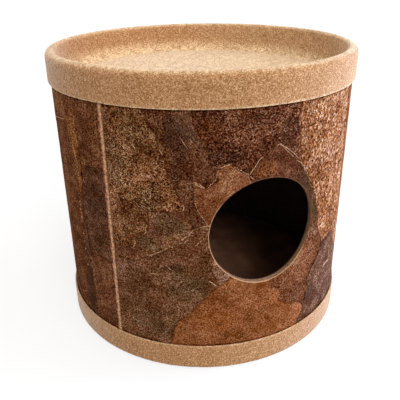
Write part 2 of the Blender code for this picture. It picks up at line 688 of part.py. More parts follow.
def build_pad(parent):
    """The loose floor pad: crowned, with a side that draws in between its two seams."""
    low = BOARD_TOP + FIT
    high = low + PAD_EDGE_HEIGHT
    roll_centre = PAD_RADIUS - PAD_ROLL
    profile = [
        (0, low),
        *arc(roll_centre, low + PAD_ROLL, PAD_ROLL, -90, 0, 2),
        (PAD_RADIUS - PAD_SIDE_DRAW, (low + high) / 2),
        *arc(roll_centre, high - PAD_ROLL, PAD_ROLL, 0, 90, 2),
        *pad_crown(roll_centre, high),
    ]
    turned("floor_pad", profile, finish("pad_cloth", PAD_BROWN, 0.9), parent, PAD_FACETS)


def main():
    clear_scene()
    build_base()
    trim_cutter = entrance_cutter("trim_bar", ENTRANCE_RADIUS + ENTRANCE_TRIM)
    build_drum(trim_cutter)
    build_hides(trim_cutter)
    build_lid(add_empty("lid_lift", WALL_TOP))
    build_pad(add_empty("pad_lift", BOARD_TOP))


main()
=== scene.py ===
"""Looks of the drum-shaped cat cave bed: felt, torn hides, seam strip, lining and floor pad.

Units are metres and +Z is up, and the entrance faces -Y. A flat coordinate is the way round the drum from the
entrance, positive to the right of someone facing it, and the height above the floor, as on the unrolled wrap.
"""

import logging
import math
from collections.abc import Callable, Sequence
from dataclasses import dataclass
from enum import Enum

import bmesh
import bpy
import numpy as np
from mathutils import Matrix, Vector, geometry, kdtree, noise


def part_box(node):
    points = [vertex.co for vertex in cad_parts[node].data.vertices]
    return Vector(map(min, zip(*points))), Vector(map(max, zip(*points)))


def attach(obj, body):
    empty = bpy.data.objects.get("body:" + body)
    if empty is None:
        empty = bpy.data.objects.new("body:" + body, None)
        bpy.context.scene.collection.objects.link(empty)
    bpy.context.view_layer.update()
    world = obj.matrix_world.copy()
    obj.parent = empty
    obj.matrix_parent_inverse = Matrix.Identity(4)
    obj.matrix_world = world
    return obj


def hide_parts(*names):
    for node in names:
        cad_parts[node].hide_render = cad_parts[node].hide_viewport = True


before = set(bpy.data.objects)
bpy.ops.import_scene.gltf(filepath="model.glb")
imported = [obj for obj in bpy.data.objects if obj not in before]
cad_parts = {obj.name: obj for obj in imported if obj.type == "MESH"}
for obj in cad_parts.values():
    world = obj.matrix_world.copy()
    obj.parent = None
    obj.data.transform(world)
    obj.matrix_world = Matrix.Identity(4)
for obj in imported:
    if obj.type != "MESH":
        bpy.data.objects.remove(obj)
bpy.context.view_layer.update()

MM = 0.001
FULL_TURN = 2 * math.pi
LOG = logging.getLogger("cat_cave_bed")

# The radius that flat coordinates are measured on
WRAP_RADIUS = 0.2250

# Entrance: centre height, radius through the wall and the wider cut through hides and lining
ENTRANCE_HEIGHT = 0.2145
ENTRANCE_RADIUS = 0.0760
TRIM_RADIUS = 0.0768

# How far from a cut edge the felt is frayed and pale
CUT_EDGE = 0.0016

# The draw of the vector noise that torn edges and crumbs follow. Without a seed it follows the clock.
TEAR_SEED = 7

# Share of its thickness by which felt is rounded along a cut edge
SOFT_EDGE = 0.45

# Bands that the wave texture draws in one unit of its scale
BANDS_PER_UNIT = 3.2

# A closed line in flat coordinates, and the section of a turned piece as radius and height
Loop = np.ndarray
Profile = list[tuple[float, float]]


def linear(code: str) -> tuple[float, float, float, float]:
    """Turn an sRGB hex colour into linear red, green, blue and alpha.

    Args:
        code: Six hex digits after a hash sign.

    Returns:
        The four linear channels.
    """
    channels = [int(code[i : i + 2], 16) / 255 for i in (1, 3, 5)]
    red, green, blue = (c / 12.92 if c <= 0.04045 else ((c + 0.055) / 1.055) ** 2.4 for c in channels)
    return red, green, blue, 1.0


def per_mm(size: float) -> float:
    """Texture scale at which a pattern repeats about every so many millimetres."""
    return 1 / (size * MM)


def clouds(points: np.ndarray, size: float, octaves: int = 2, seed: float = 0.0) -> np.ndarray:
    """Smooth random heights over points in space.

    Args:
        points: Rows of x, y and z.
        size: Width of a lump, in metres.
        octaves: Layers of finer lumps.
        seed: Moves to another part of the pattern.

    Returns:
        One value for each point, mostly between -1 and 1.
    """
    shift = Vector((7.3, 3.1, 5.7)) * seed
    return np.array([noise.fractal(Vector(p) / size + shift, 1.0, 2.0, octaves) for p in points.tolist()])


class Nodes:
    """A node tree and a short way to add to it."""

    def __init__(self, tree: bpy.types.NodeTree) -> None:
        """Start from a tree.

        Args:
            tree: The tree to add to.
        """
        self.tree = tree

    def add(
        self,
        kind: str,
        inputs: dict | None = None,
        stops: Sequence[tuple[float, str]] = (),
        out: int | str = 0,
        **settings: object,
    ) -> bpy.types.NodeSocket:
        """Add a node with its settings and links.

        Args:
            kind: The node's type name, without ShaderNode.
            inputs: Values, or sockets to link from, by input name or number.
            stops: Places and hex colours of a colour ramp.
            out: Name or number of the output to give.
            **settings: Values for the node's own properties.

        Returns:
            The new node's output.
        """
        node = self.tree.nodes.new("ShaderNode" + kind)
        for key, value in settings.items():
            setattr(node, key, value)
        self.join(node, inputs or {})
        for i, (place, code) in enumerate(stops):
            elements = node.color_ramp.elements
            element = elements[i] if i < 2 else elements.new(place)
            element.position = place
            element.color = linear(code)
        return node.outputs[out]

    def join(self, node: bpy.types.Node, inputs: dict) -> None:
        """Set a node's inputs.

        Args:
            node: The node to set.
            inputs: Values, or sockets to link from, by input name or number.
        """
        for key, value in inputs.items():
            if isinstance(value, bpy.types.NodeSocket):
                self.tree.links.new(value, node.inputs[key])
            else:
                node.inputs[key].default_value = value


class Surface(Nodes):
    """One material's node tree and its shader."""

    def __init__(self, name: str) -> None:
        """Start a material with a plain shader.

        Args:
            name: What the real material is.
        """
        self.material = bpy.data.materials.new(name)
        self.material.use_nodes = True
        super().__init__(self.material.node_tree)
        self.shader = self.tree.nodes["Principled BSDF"]

    def finish(self, inputs: dict) -> bpy.types.Material:
        """Set the shader's inputs and give the finished material.

        Args:
            inputs: Values, or sockets to link from, by input name.

        Returns:
            The material.
        """
        self.join(self.shader, inputs)
        return self.material


@dataclass(frozen=True)
class NeedledFelt:
    """Needle-punched polyester felt, heat-moulded: fluffy, dull, flecked with darker and paler fibres.

    Matted curls of fibre, paler at cut edges and where light is painted on, with a soft glow at grazing
    angles.
    """

    name: str
    dark: str
    base: str
    pale: str
    cut_and_lit: str
    speck: float = 1.9
    # A fibre is 0.03 mm thick. So that it shows, it is drawn about ten times that, in curls 3 mm across.
    curl: float = 3.0
    tuft: float = 8.0
    cloud: float = 45.0
    pile: float = 0.6
    sheen: float = 0.65

    def dress(self) -> bpy.types.Material:
        """Make the felt's material. The mesh says where the felt is cut and where light is painted on it.

        Returns:
            The material.
        """
        felt = Surface(self.name)
        place = felt.add("TexCoord", out="Object")
        # This share holds the felt's real cut edges and its painted light
        worn = felt.add("Attribute", attribute_name="cut_and_lit", out="Fac")
        specks = felt.add("TexNoise", {
            "Vector": place, "Scale": per_mm(self.speck),
            "Detail": 2.0, "Roughness": 0.65, "Distortion": 1.2,
        })
        cloud = felt.add("TexNoise", {"Vector": place, "Scale": per_mm(self.cloud), "Detail": 2.0})
        mixed = felt.add("Math", {0: cloud, 1: 0.05, 2: specks}, operation="MULTIPLY_ADD")

        # A fibre is the line along which a wavering field passes its middle
        field = felt.add(
            "TexNoise", {"Vector": place, "Scale": per_mm(self.curl), "Detail": 1.0, "Distortion": 1.5}
        )
        away = felt.add("Math", {0: field, 1: 0.5}, operation="SUBTRACT")
        away = felt.add("Math", {0: away}, operation="ABSOLUTE")
        fibre = felt.add(
            "MapRange", {"Value": away, "From Min": 0.008, "From Max": 0.05, "To Min": 1.0, "To Max": 0.0}
        )
        mixed = felt.add("Math", {0: fibre, 1: 0.1, 2: mixed}, operation="MULTIPLY_ADD")
        colour = felt.add(
            "ValToRGB", {"Fac": mixed}, [(0.44, self.dark), (0.71, self.pale), (0.57, self.base)]
        )

        # Paleness from cut edges and painted light shows most on the fibres that stand up, and in tufts
        ruffled = felt.add(
            "MapRange", {"Value": mixed, "From Min": 0.46, "From Max": 0.68, "To Min": 0.45, "To Max": 1.55}
        )
        tufts = felt.add(
            "TexNoise", {"Vector": place, "Scale": per_mm(self.tuft), "Detail": 2.0, "Distortion": 1.6}
        )
        tufted = felt.add(
            "MapRange", {"Value": tufts, "From Min": 0.42, "From Max": 0.58, "To Min": 0.5, "To Max": 1.5}
        )
        ruffled = felt.add("Math", {0: ruffled, 1: tufted}, operation="MULTIPLY")
        pale_share = felt.add("Math", {0: ruffled, 1: worn}, operation="MULTIPLY", use_clamp=True)
        colour = felt.add("Mix", {0: pale_share, 6: colour, 7: linear(self.cut_and_lit)}, data_type="RGBA", out=2)
        bump = felt.add("Bump", {"Height": mixed, "Distance": self.pile * MM, "Strength": 0.9})
        return felt.finish({
            "Base Color": colour, "Roughness": 0.95, "Specular IOR Level": 0.05, "Normal": bump,
            "Sheen Weight": self.sheen, "Sheen Roughness": 0.32, "Sheen Tint": linear("#FFF8F0"),
        })


@dataclass(frozen=True)
class GrainPattern:
    """How a hide's surface is broken up. Sizes are in millimetres and shares from 0 to 1."""

    lump: float
    granule_share: float
    pit_share: float
    pit_part: float
    fleck_share: float
    fleck_from: float
    grit_share: float = 0.35
    # Pores and grains are 0.3 to 1 mm across. They are drawn at 1.6 mm or more, so that they show.
    grit: float = 3.0
    granule: float = 1.8
    stretch: float = 1.0
    crack: float = 4.2
    crack_share: float = 0.0
    streak: float = 0.0
    depth: float = 0.5
    roughness: float = 0.75
    sheen: float = 0.0


class Grain(Enum):
    """The kinds of surface among the offcuts."""

    GRANULAR = GrainPattern(
        lump=9.0, granule_share=0.85, pit_share=0.95, pit_part=0.43, fleck_share=0.85, fleck_from=0.85,
        depth=1.2,
    )
    SMOOTH = GrainPattern(
        lump=12.0, granule_share=0.8, pit_share=0.9, pit_part=0.41, fleck_share=0.5, fleck_from=0.92,
        grit_share=0.3,
    )
    STREAKED = GrainPattern(
        lump=14.0, granule_share=0.9, pit_share=0.9, pit_part=0.42, fleck_share=0.5, fleck_from=0.90,
        streak=0.2, depth=0.7,
    )
    CRACKED = GrainPattern(
        lump=8.0, granule_share=0.9, pit_share=0.95, pit_part=0.42, fleck_share=0.6, fleck_from=0.89,
        grit=2.8, crack_share=0.5, depth=1.1,
    )
    BLOTCHED = GrainPattern(
        lump=15.0, granule_share=0.8, pit_share=0.85, pit_part=0.41, fleck_share=0.6, fleck_from=0.90,
        grit_share=0.33, depth=0.8,
    )
    PITTED = GrainPattern(
        lump=7.0, granule_share=0.6, pit_share=0.95, pit_part=0.43, fleck_share=0.7, fleck_from=0.88,
        granule=2.1, stretch=0.5, depth=1.2,
    )
    SUEDE = GrainPattern(
        lump=12.0, granule_share=0.62, pit_share=0.8, pit_part=0.40, fleck_share=0.4, fleck_from=0.92,
        grit_share=0.22, grit=2.5, granule=1.6, depth=0.6, roughness=0.92, sheen=0.2,
    )


@dataclass(frozen=True)
class TornHide:
    """A torn offcut of vegetable-tanned hide: thin, dry, dyed unevenly, with a pale fibrous core at edges."""

    slot: str
    dark: str
    base: str
    light: str
    grain: Grain
    level: int
    fleck: str = "#A68056"
    # Millimetres: the dye's clouds, patches with more flecks, rubbed streaks and the rim darkened by painted
    # shade
    cloud: float = 38.0
    fleck_patch: float = 34.0
    rubbed_streak: float = 3.2
    rim_painted_shade: float = 1.4

    def dress(self, name: str) -> bpy.types.Material:
        """Make the hide's material. It reads what the mesh says of each point's place, edge and tear.

        Args:
            name: The piece's name.

        Returns:
            The material.
        """
        hide = Surface("vegetable_tanned_" + name)
        grain = self.grain.value
        place = hide.add("Attribute", attribute_name="flat", out="Vector")
        edge, torn, relief = (
            hide.add("Attribute", attribute_name=layer, out="Fac") for layer in ("edge", "torn", "relief")
        )

        # Dye lies unevenly: broad clouds and lumps choose among the three colours
        broad = hide.add(
            "TexNoise", {"Vector": place, "Scale": per_mm(self.cloud), "Detail": 2.0, "Distortion": 0.5}
        )
        lumps = hide.add("TexNoise", {
            "Vector": place, "Scale": per_mm(grain.lump), "Detail": 3.0, "Roughness": 0.6, "Distortion": 0.7,
        })
        dye = hide.add("Math", {0: broad, 1: lumps}, operation="ADD")
        dye = hide.add("Math", {0: relief, 1: 0.10, 2: dye}, operation="MULTIPLY_ADD")
        dye = hide.add("Math", {0: dye, 1: 0.5}, operation="MULTIPLY")
        colour = hide.add(
            "ValToRGB", {"Fac": dye}, [(0.38, self.dark), (0.64, self.light), (0.50, self.base)]
        )
        stain = hide.add("Attribute", attribute_name="stain", out="Alpha")
        colour = hide.add(
            "Mix", {0: stain, 6: colour, 7: stain.node.outputs["Color"]}, data_type="RGBA", out=2
        )

        # Soft grit, and granules that are each a little lighter or darker than the next
        grit = hide.add("TexNoise", {
            "Vector": place, "Scale": per_mm(grain.grit), "Detail": 2.0, "Roughness": 0.7, "Distortion": 0.6,
        })
        shade = hide.add("MapRange", {
            "Value": grit, "From Min": 0.38, "From Max": 0.62,
            "To Min": 1 - grain.grit_share, "To Max": 1 + grain.grit_share,
        })
        bent = hide.add(
            "VectorMath",
            {0: grit.node.outputs["Color"], 1: (0.004, 0.004, 0), 2: place},
            operation="MULTIPLY_ADD",
        )
        stretched = hide.add("Mapping", {"Vector": bent, "Scale": (1, grain.stretch, 1)})
        granules = hide.add(
            "TexNoise",
            {"Vector": stretched, "Scale": per_mm(grain.granule), "Detail": 2.0, "Roughness": 0.8},
            out="Color",
        )
        chance = hide.add("SeparateColor", {0: granules}).node.outputs
        tone = hide.add("MapRange", {
            "Value": chance[0], "From Min": 0.41, "From Max": 0.59,
            "To Min": 1 - grain.granule_share, "To Max": 1 + grain.granule_share,
        })
        pits = hide.add("MapRange", {
            "Value": chance[1], "From Min": grain.pit_part, "From Max": grain.pit_part + 0.06,
            "To Min": 1 - grain.pit_share, "To Max": 1.0,
        })
        shade = hide.add("Math", {0: shade, 1: tone}, operation="MULTIPLY")
        shade = hide.add("Math", {0: shade, 1: pits}, operation="MULTIPLY")
        height = hide.add("Math", {0: pits, 1: 0.7, 2: grit}, operation="MULTIPLY_ADD")

        if grain.crack_share:
            cells = hide.add(
                "TexVoronoi", {"Vector": bent, "Scale": per_mm(grain.crack)}, feature="DISTANCE_TO_EDGE"
            )
            cracks = hide.add(
                "MapRange",
                {
                    "Value": cells, "From Min": 0.0, "From Max": 0.11,
                    "To Min": 1 - grain.crack_share, "To Max": 1.0,
                },
                interpolation_type="SMOOTHSTEP",
            )
            shade = hide.add("Math", {0: shade, 1: cracks}, operation="MULTIPLY")
            height = hide.add("Math", {0: height, 1: cracks}, operation="ADD")

        patches = hide.add("TexNoise", {"Vector": place, "Scale": per_mm(self.fleck_patch), "Detail": 1.0})
        lucky = hide.add("Math", {0: patches, 1: 0.5, 2: chance[2]}, operation="MULTIPLY_ADD")
        flecks = hide.add("MapRange", {
            "Value": lucky, "From Min": grain.fleck_from, "From Max": grain.fleck_from + 0.06,
            "To Min": 0.0, "To Max": grain.fleck_share,
        })
        colour = hide.add("Mix", {0: flecks, 6: colour, 7: linear(self.fleck)}, data_type="RGBA", out=2)

        # Painted shade darkens a hide towards its rim, which lies lower, and along the painted shade lines
        rim = hide.add(
            "MapRange",
            {"Value": edge, "From Min": 0.0, "From Max": self.rim_painted_shade, "To Min": 0.4, "To Max": 1.0},
        )
        shade = hide.add("Math", {0: shade, 1: rim}, operation="MULTIPLY")
        # Light grains are drier and greyer and pits redder, so blue follows the shade more than red does
        shade = hide.add("Math", {0: shade, 1: LIGHTEST_SHADE}, operation="MINIMUM")
        channels = {
            way: hide.add("Math", {0: shade, 1: power}, operation="POWER")
            for way, power in SHADE_POWERS.items()
        }
        shades = hide.add("CombineXYZ", channels)
        colour = hide.add("VectorMath", {0: colour, 1: shades}, operation="MULTIPLY")

        if grain.streak:
            turned_place = hide.add(
                "Mapping", {"Vector": place, "Rotation": (0, 0, math.radians(40)), "Scale": (1, 0.12, 1)}
            )
            streaks = hide.add(
                "TexNoise", {"Vector": turned_place, "Scale": per_mm(self.rubbed_streak), "Detail": 2.0}
            )
            streaked = hide.add("Math", {0: streaks, 1: broad}, operation="MULTIPLY")
            shine = hide.add(
                "MapRange", {"Value": streaked, "From Min": 0.27, "From Max": 0.36, "To Max": grain.streak}
            )
            colour = hide.add("Mix", {0: shine, 6: colour, 7: linear(RUBBED_GREY)}, data_type="RGBA", out=2)

        # Where it tore, the pale core of the hide shows
        core = hide.add(
            "MapRange", {"Value": edge, "From Min": 0.25, "From Max": 1.0, "To Min": 1.0, "To Max": 0.0}
        )
        core = hide.add("Math", {0: core, 1: torn}, operation="MULTIPLY", use_clamp=True)
        colour = hide.add("Mix", {0: core, 6: colour, 7: linear(TORN_CORE)}, data_type="RGBA", out=2)

        bump = hide.add("Bump", {"Height": height, "Distance": grain.depth * MM, "Strength": 0.8})
        return hide.finish({
            "Base Color": colour, "Roughness": grain.roughness, "Specular IOR Level": 0.01, "Normal": bump,
            "Sheen Weight": grain.sheen, "Sheen Roughness": 0.5, "Sheen Tint": linear(self.light),
        })


# Colours that all the hides share: rubbed grain and torn core
RUBBED_GREY = "#5C463A"
TORN_CORE = "#CFA57E"

# How light a grain may get, and how strongly red, green and blue follow its shade
LIGHTEST_SHADE = 1.65
SHADE_POWERS = {"X": 0.7, "Y": 1.3, "Z": 2.2}

FINISHES = {
    "granular": TornHide("leather_olive", "#5F3315", "#8C5932", "#B7835A", Grain.GRANULAR, 2, "#B29060"),
    "purple": TornHide("leather_dark", "#50280F", "#693F25", "#855737", Grain.STREAKED, 1),
    "cracked": TornHide("leather_dark", "#4D280E", "#79482E", "#A16E48", Grain.CRACKED, 0),
    "grey": TornHide("leather_olive", "#5C351D", "#754A2E", "#916743", Grain.BLOTCHED, 0),
    "torn_tan": TornHide("leather_tan", "#6A3B1C", "#825031", "#9A6B46", Grain.SUEDE, 3),
    "arch": TornHide("leather_brown", "#46230D", "#633922", "#7F5037", Grain.BLOTCHED, 2),
    "copper": TornHide("leather_copper", "#6E3D1B", "#98643B", "#C6966B", Grain.PITTED, 1, "#CCA080"),
    "olive": TornHide("leather_brown", "#593217", "#734B2C", "#8E6144", Grain.BLOTCHED, 2),
    "sliver": TornHide("leather_tan", "#734E2F", "#9C7357", "#C4A983", Grain.SMOOTH, 1),
    "rust": TornHide("suede_rust", "#683614", "#824D28", "#9A633D", Grain.SUEDE, 3),
    "russet": TornHide("leather_red", "#5C3116", "#724325", "#8B5A37", Grain.BLOTCHED, 0),
    "plum": TornHide("leather_plum", "#4A291A", "#684630", "#886248", Grain.BLOTCHED, 2),
    "left_upper": TornHide("leather_brown", "#5A3115", "#764828", "#91633D", Grain.SMOOTH, 2),
    "left_middle": TornHide("leather_dark", "#4F2E15", "#674129", "#81573A", Grain.BLOTCHED, 0),
    "left_lower": TornHide("leather_brown", "#5A341C", "#744629", "#885B37", Grain.SMOOTH, 2),
    "left_tan": TornHide("leather_tan", "#643316", "#7D4B27", "#9D6536", Grain.SMOOTH, 3),
    "left_dark": TornHide("leather_dark", "#482C16", "#613C24", "#754E32", Grain.BLOTCHED, 1),
    "side_red": TornHide("leather_red", "#582F14", "#734423", "#8D5D38", Grain.SMOOTH, 0),
    "side_upper": TornHide("leather_tan", "#653A1A", "#83532F", "#A17042", Grain.SMOOTH, 1),
}

# The back's hides, back_1 and on, repeat these finishes, each at its own level in the pile
BACK_FINISHES = [
    ("left_tan", 2), ("grey", 0), ("copper", 1), ("purple", 3), ("rust", 1), ("arch", 2), ("granular", 0),
    ("cracked", 1), ("plum", 2), ("left_upper", 0), ("left_middle", 2), ("rust", 1), ("olive", 3),
    ("russet", 0),
]


@dataclass(frozen=True)
class PulpBoard:
    """Grey-brown spiral-wound tube board, cut with a saw: dull, with fine plies along its cut edges."""

    name: str
    base: str
    dark: str
    # Plies are 0.5 mm thick and are drawn at nearly twice that, so that they show
    ply: float = 0.9
    fibre: float = 2.4

    def dress(self) -> bpy.types.Material:
        """Make the board's material.

        Returns:
            The material.
        """
        board = Surface(self.name)
        place = board.add("TexCoord", out="Object")
        level = board.add("VectorMath", {0: place, 1: (1, 1, 0)}, operation="MULTIPLY")
        radius = board.add("VectorMath", {0: level}, operation="LENGTH", out="Value")
        turns = board.add("Math", {0: radius, 1: per_mm(self.ply) * FULL_TURN}, operation="MULTIPLY")
        plies = board.add("Math", {0: turns}, operation="SINE")
        fibre = board.add(
            "TexNoise", {"Vector": place, "Scale": per_mm(self.fibre), "Detail": 3.0, "Distortion": 0.6}
        )
        mixed = board.add("Math", {0: plies, 1: 0.07, 2: fibre}, operation="MULTIPLY_ADD")
        colour = board.add("ValToRGB", {"Fac": mixed}, [(0.32, self.dark), (0.62, self.base)])
        bump = board.add("Bump", {"Height": mixed, "Distance": 0.2 * MM})
        return board.finish(
            {"Base Color": colour, "Roughness": 0.85, "Specular IOR Level": 0.25, "Normal": bump}
        )


@dataclass(frozen=True)
class Plywood:
    """Sanded birch plywood: straight pale grain on its faces and dark and light plies along its edge."""

    name: str
    base: str
    dark: str
    ring: float = 6.0
    ply: float = 1.5

    def dress(self) -> bpy.types.Material:
        """Make the plywood's material.

        Returns:
            The material.
        """
        wood = Surface(self.name)
        place = wood.add("TexCoord", out="Object")
        along = wood.add("Mapping", {"Vector": place, "Scale": (0.08, 1, 1)})
        figure = wood.add(
            "TexNoise", {"Vector": along, "Scale": per_mm(self.ring), "Detail": 4.0, "Distortion": 1.2}
        )
        height = wood.add("SeparateXYZ", {0: place}, out="Z")
        turns = wood.add("Math", {0: height, 1: per_mm(self.ply) * math.pi}, operation="MULTIPLY")
        plies = wood.add("Math", {0: turns}, operation="SINE")
        mixed = wood.add("Math", {0: plies, 1: 0.08, 2: figure}, operation="MULTIPLY_ADD")
        colour = wood.add("ValToRGB", {"Fac": mixed}, [(0.35, self.dark), (0.62, self.base)])
        bump = wood.add("Bump", {"Height": figure, "Distance": 0.1 * MM})
        return wood.finish({"Base Color": colour, "Roughness": 0.62, "Normal": bump})


@dataclass(frozen=True)
class CutFoam:
    """Cut polyethylene foam: closed cells of about a millimetre, with a soft dull skin."""

    name: str
    base: str
    shade: str
    # Cells are about 1 mm across and are drawn a little coarser, so that they show
    cell: float = 1.6

    def dress(self) -> bpy.types.Material:
        """Make the foam's material.

        Returns:
            The material.
        """
        foam = Surface(self.name)
        place = foam.add("TexCoord", out="Object")
        cells = foam.add("TexVoronoi", {"Vector": place, "Scale": per_mm(self.cell)})
        colour = foam.add("ValToRGB", {"Fac": cells}, [(0.15, self.shade), (0.6, self.base)])
        bump = foam.add("Bump", {"Height": cells, "Distance": 0.4 * MM})
        return foam.finish({"Base Color": colour, "Roughness": 0.9, "Normal": bump})


@dataclass(frozen=True)
class WovenCloth:
    """Plain-woven cotton canvas, dyed dark: a soft grid of threads with a little fuzz."""

    name: str
    base: str
    light: str
    # Threads lie 0.8 mm apart and are drawn at two to three times that, or they would not show
    thread: float = 2.4
    worn_patch: float = 34.0

    def dress(self) -> bpy.types.Material:
        """Make the cloth's material.

        Returns:
            The material.
        """
        cloth = Surface(self.name)
        place = cloth.add("TexCoord", out="Object")
        warp, weft = (
            cloth.add(
                "TexWave",
                {
                    "Vector": place, "Scale": per_mm(self.thread) / BANDS_PER_UNIT,
                    "Distortion": 0.6, "Detail Scale": 2.0,
                },
                out="Fac",
                wave_type="BANDS",
                bands_direction=way,
            )
            for way in ("X", "Y")
        )
        weave = cloth.add("Math", {0: warp, 1: weft}, operation="MULTIPLY")
        worn = cloth.add("TexNoise", {"Vector": place, "Scale": per_mm(self.worn_patch), "Detail": 3.0})
        mixed = cloth.add("Math", {0: weave, 1: 0.5, 2: worn}, operation="MULTIPLY_ADD")
        colour = cloth.add("ValToRGB", {"Fac": mixed}, [(0.40, self.base), (0.90, self.light)])
        bump = cloth.add("Bump", {"Height": weave, "Distance": 0.4 * MM})
        return cloth.finish({
            "Base Color": colour, "Roughness": 0.9, "Specular IOR Level": 0.05, "Normal": bump,
            "Sheen Weight": 0.1, "Sheen Roughness": 0.5, "Sheen Tint": linear(self.light),
        })


@dataclass(frozen=True)
class StripLeather:
    """A narrow strip of split leather, cut by hand: pale on the right, stained pinkish on the left."""

    name: str
    pale: str
    stained: str
    dark: str
    stain: float = 6.0
    # Pores are under a millimetre across and are drawn at 3.2 mm, so that they show
    grit: float = 3.2

    def dress(self) -> bpy.types.Material:
        """Make the strip's material.

        Returns:
            The material.
        """
        strip = Surface(self.name)
        place = strip.add("Attribute", attribute_name="flat", out="Vector")
        across = strip.add("Attribute", attribute_name="across", out="Fac")
        stain = strip.add(
            "TexNoise", {"Vector": place, "Scale": per_mm(self.stain), "Detail": 3.0, "Distortion": 0.8}
        )
        side = strip.add("MapRange", {"Value": across, "From Min": 0.38, "From Max": 0.62, "To Max": 0.42})
        mixed = strip.add("Math", {0: side, 1: stain}, operation="ADD")
        colour = strip.add(
            "ValToRGB", {"Fac": mixed}, [(0.42, self.dark), (0.86, self.pale), (0.55, self.stained)]
        )
        grit = strip.add("TexNoise", {"Vector": place, "Scale": per_mm(self.grit), "Detail": 2.0})
        shade = strip.add(
            "MapRange", {"Value": grit, "From Min": 0.35, "From Max": 0.65, "To Min": 0.4, "To Max": 1.35}
        )
        colour = strip.add("VectorMath", {0: colour, "Scale": shade}, operation="SCALE")
        bump = strip.add("Bump", {"Height": grit, "Distance": 0.4 * MM})
        return strip.finish(
            {"Base Color": colour, "Roughness": 0.8, "Specular IOR Level": 0.3, "Normal": bump}
        )


@dataclass(frozen=True)
class TornGrain:
    """The fibrous pale core of a hide where it was torn: dry and dull, uneven in colour."""

    name: str
    dark: str
    pale: str
    fibre: float = 2.4

    def dress(self) -> bpy.types.Material:
        """Make the torn core's material.

        Returns:
            The material.
        """
        core = Surface(self.name)
        place = core.add("TexCoord", out="Object")
        fibre = core.add("TexNoise", {"Vector": place, "Scale": per_mm(self.fibre), "Detail": 2.0})
        colour = core.add("ValToRGB", {"Fac": fibre}, [(0.38, self.dark), (0.58, self.pale)])
        bump = core.add("Bump", {"Height": fibre, "Distance": 0.3 * MM})
        return core.finish(
            {"Base Color": colour, "Roughness": 0.85, "Specular IOR Level": 0.1, "Normal": bump}
        )


TORN_GRAIN = TornGrain("torn_hide_core", dark="#8A5A3C", pale="#D8B08C")
CAMEL_FELT = NeedledFelt(
    "camel_needled_felt", dark="#85592F", base="#AE8059", pale="#D2AA80", cut_and_lit="#F6DAAE"
)
DARK_FELT = NeedledFelt(
    "dark_brown_needled_felt", dark="#43322A", base="#60493D", pale="#7C6050", cut_and_lit="#846A5A",
    cloud=60.0, sheen=0.1,
)
TUBE_BOARD = PulpBoard("spiral_wound_tube_board", base="#9A7452", dark="#553B2A")
HOOP_BOARD = PulpBoard("bent_hoop_board", base="#A98560", dark="#7C5B3C")
PLY = Plywood("sanded_birch_plywood", base="#C9A679", dark="#A07C4F")
RIM_FOAM = CutFoam("polyethylene_foam", base="#CDBFA4", shade="#A89A80")
PAD_CANVAS = WovenCloth("brown_cotton_canvas", base="#6A4634", light="#966C52")
PAD_PIPING = WovenCloth("brown_cotton_piping", base="#4A3024", light="#6E4C3A", thread=1.8)


def reach(node: str) -> float:
    """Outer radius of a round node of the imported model."""
    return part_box(node)[1].x


def lowest(node: str) -> float:
    """Height of a node's underside."""
    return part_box(node)[0].z


def highest(node: str) -> float:
    """Height of a node's top."""
    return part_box(node)[1].z


def set_attribute(mesh: bpy.types.Mesh, name: str, values: np.ndarray) -> None:
    """Keep a value, a vector or a colour for each point of a mesh, for its material.

    Args:
        mesh: The mesh.
        name: The attribute's name, as the material reads it.
        values: One value, one row of three or one colour with alpha for each point.
    """
    kind, field = {1: ("FLOAT", "value"), 3: ("FLOAT_VECTOR", "vector"), 4: ("FLOAT_COLOR", "color")}[
        1 if values.ndim == 1 else values.shape[1]
    ]
    mesh.attributes.new(name, kind, "POINT").data.foreach_set(field, values.astype(np.float32).ravel())


def add_piece(
    name: str,
    points: np.ndarray,
    faces: list,
    material: bpy.types.Material,
    attributes: dict[str, np.ndarray] | None = None,
) -> bpy.types.Object:
    """Make a named, smooth-shaded object.

    Args:
        name: The piece's name.
        points: Rows of x, y and z.
        faces: Point numbers of each face, anticlockwise from outside.
        material: Its finish.
        attributes: Values for each point that the finish reads.

    Returns:
        The object.
    """
    mesh = bpy.data.meshes.new(name)
    mesh.from_pydata(points.tolist(), [], faces)
    for key, values in (attributes or {}).items():
        set_attribute(mesh, key, values)
    mesh.materials.append(material)
    mesh.shade_smooth()
    mesh.set_sharp_from_angle(angle=math.radians(55))
    piece = bpy.data.objects.new(name, mesh)
    bpy.context.scene.collection.objects.link(piece)
    LOG.info("%s: %d points, %d faces", name, len(points), len(faces))
    return piece


def settle(piece: bpy.types.Object, body: str, slot: str, *nodes: str) -> bpy.types.Object:
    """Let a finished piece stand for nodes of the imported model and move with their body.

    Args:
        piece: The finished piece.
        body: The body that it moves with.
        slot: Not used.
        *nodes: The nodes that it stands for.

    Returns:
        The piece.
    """
    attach(piece, body)
    if nodes:
        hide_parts(*nodes)
    return piece


def repaint(node: str, material: bpy.types.Material) -> None:
    """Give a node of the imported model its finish.

    Args:
        node: The node's name.
        material: Its finish.
    """
    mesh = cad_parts[node].data
    mesh.materials.clear()
    mesh.materials.append(material)


def arc(centre: tuple[float, float], radius: float, start: float, end: float, steps: int) -> Profile:
    """Points along a round corner of a turned profile.

    Args:
        centre: Radius and height of the corner's centre.
        radius: The corner's radius.
        start: First angle in degrees, 0 being away from the drum's axis.
        end: Last angle in degrees.
        steps: Straight steps in the arc.

    Returns:
        The points, as radius and height.
    """
    angles = [math.radians(start + (end - start) * i / steps) for i in range(steps + 1)]
    return [(centre[0] + radius * math.cos(a), centre[1] + radius * math.sin(a)) for a in angles]


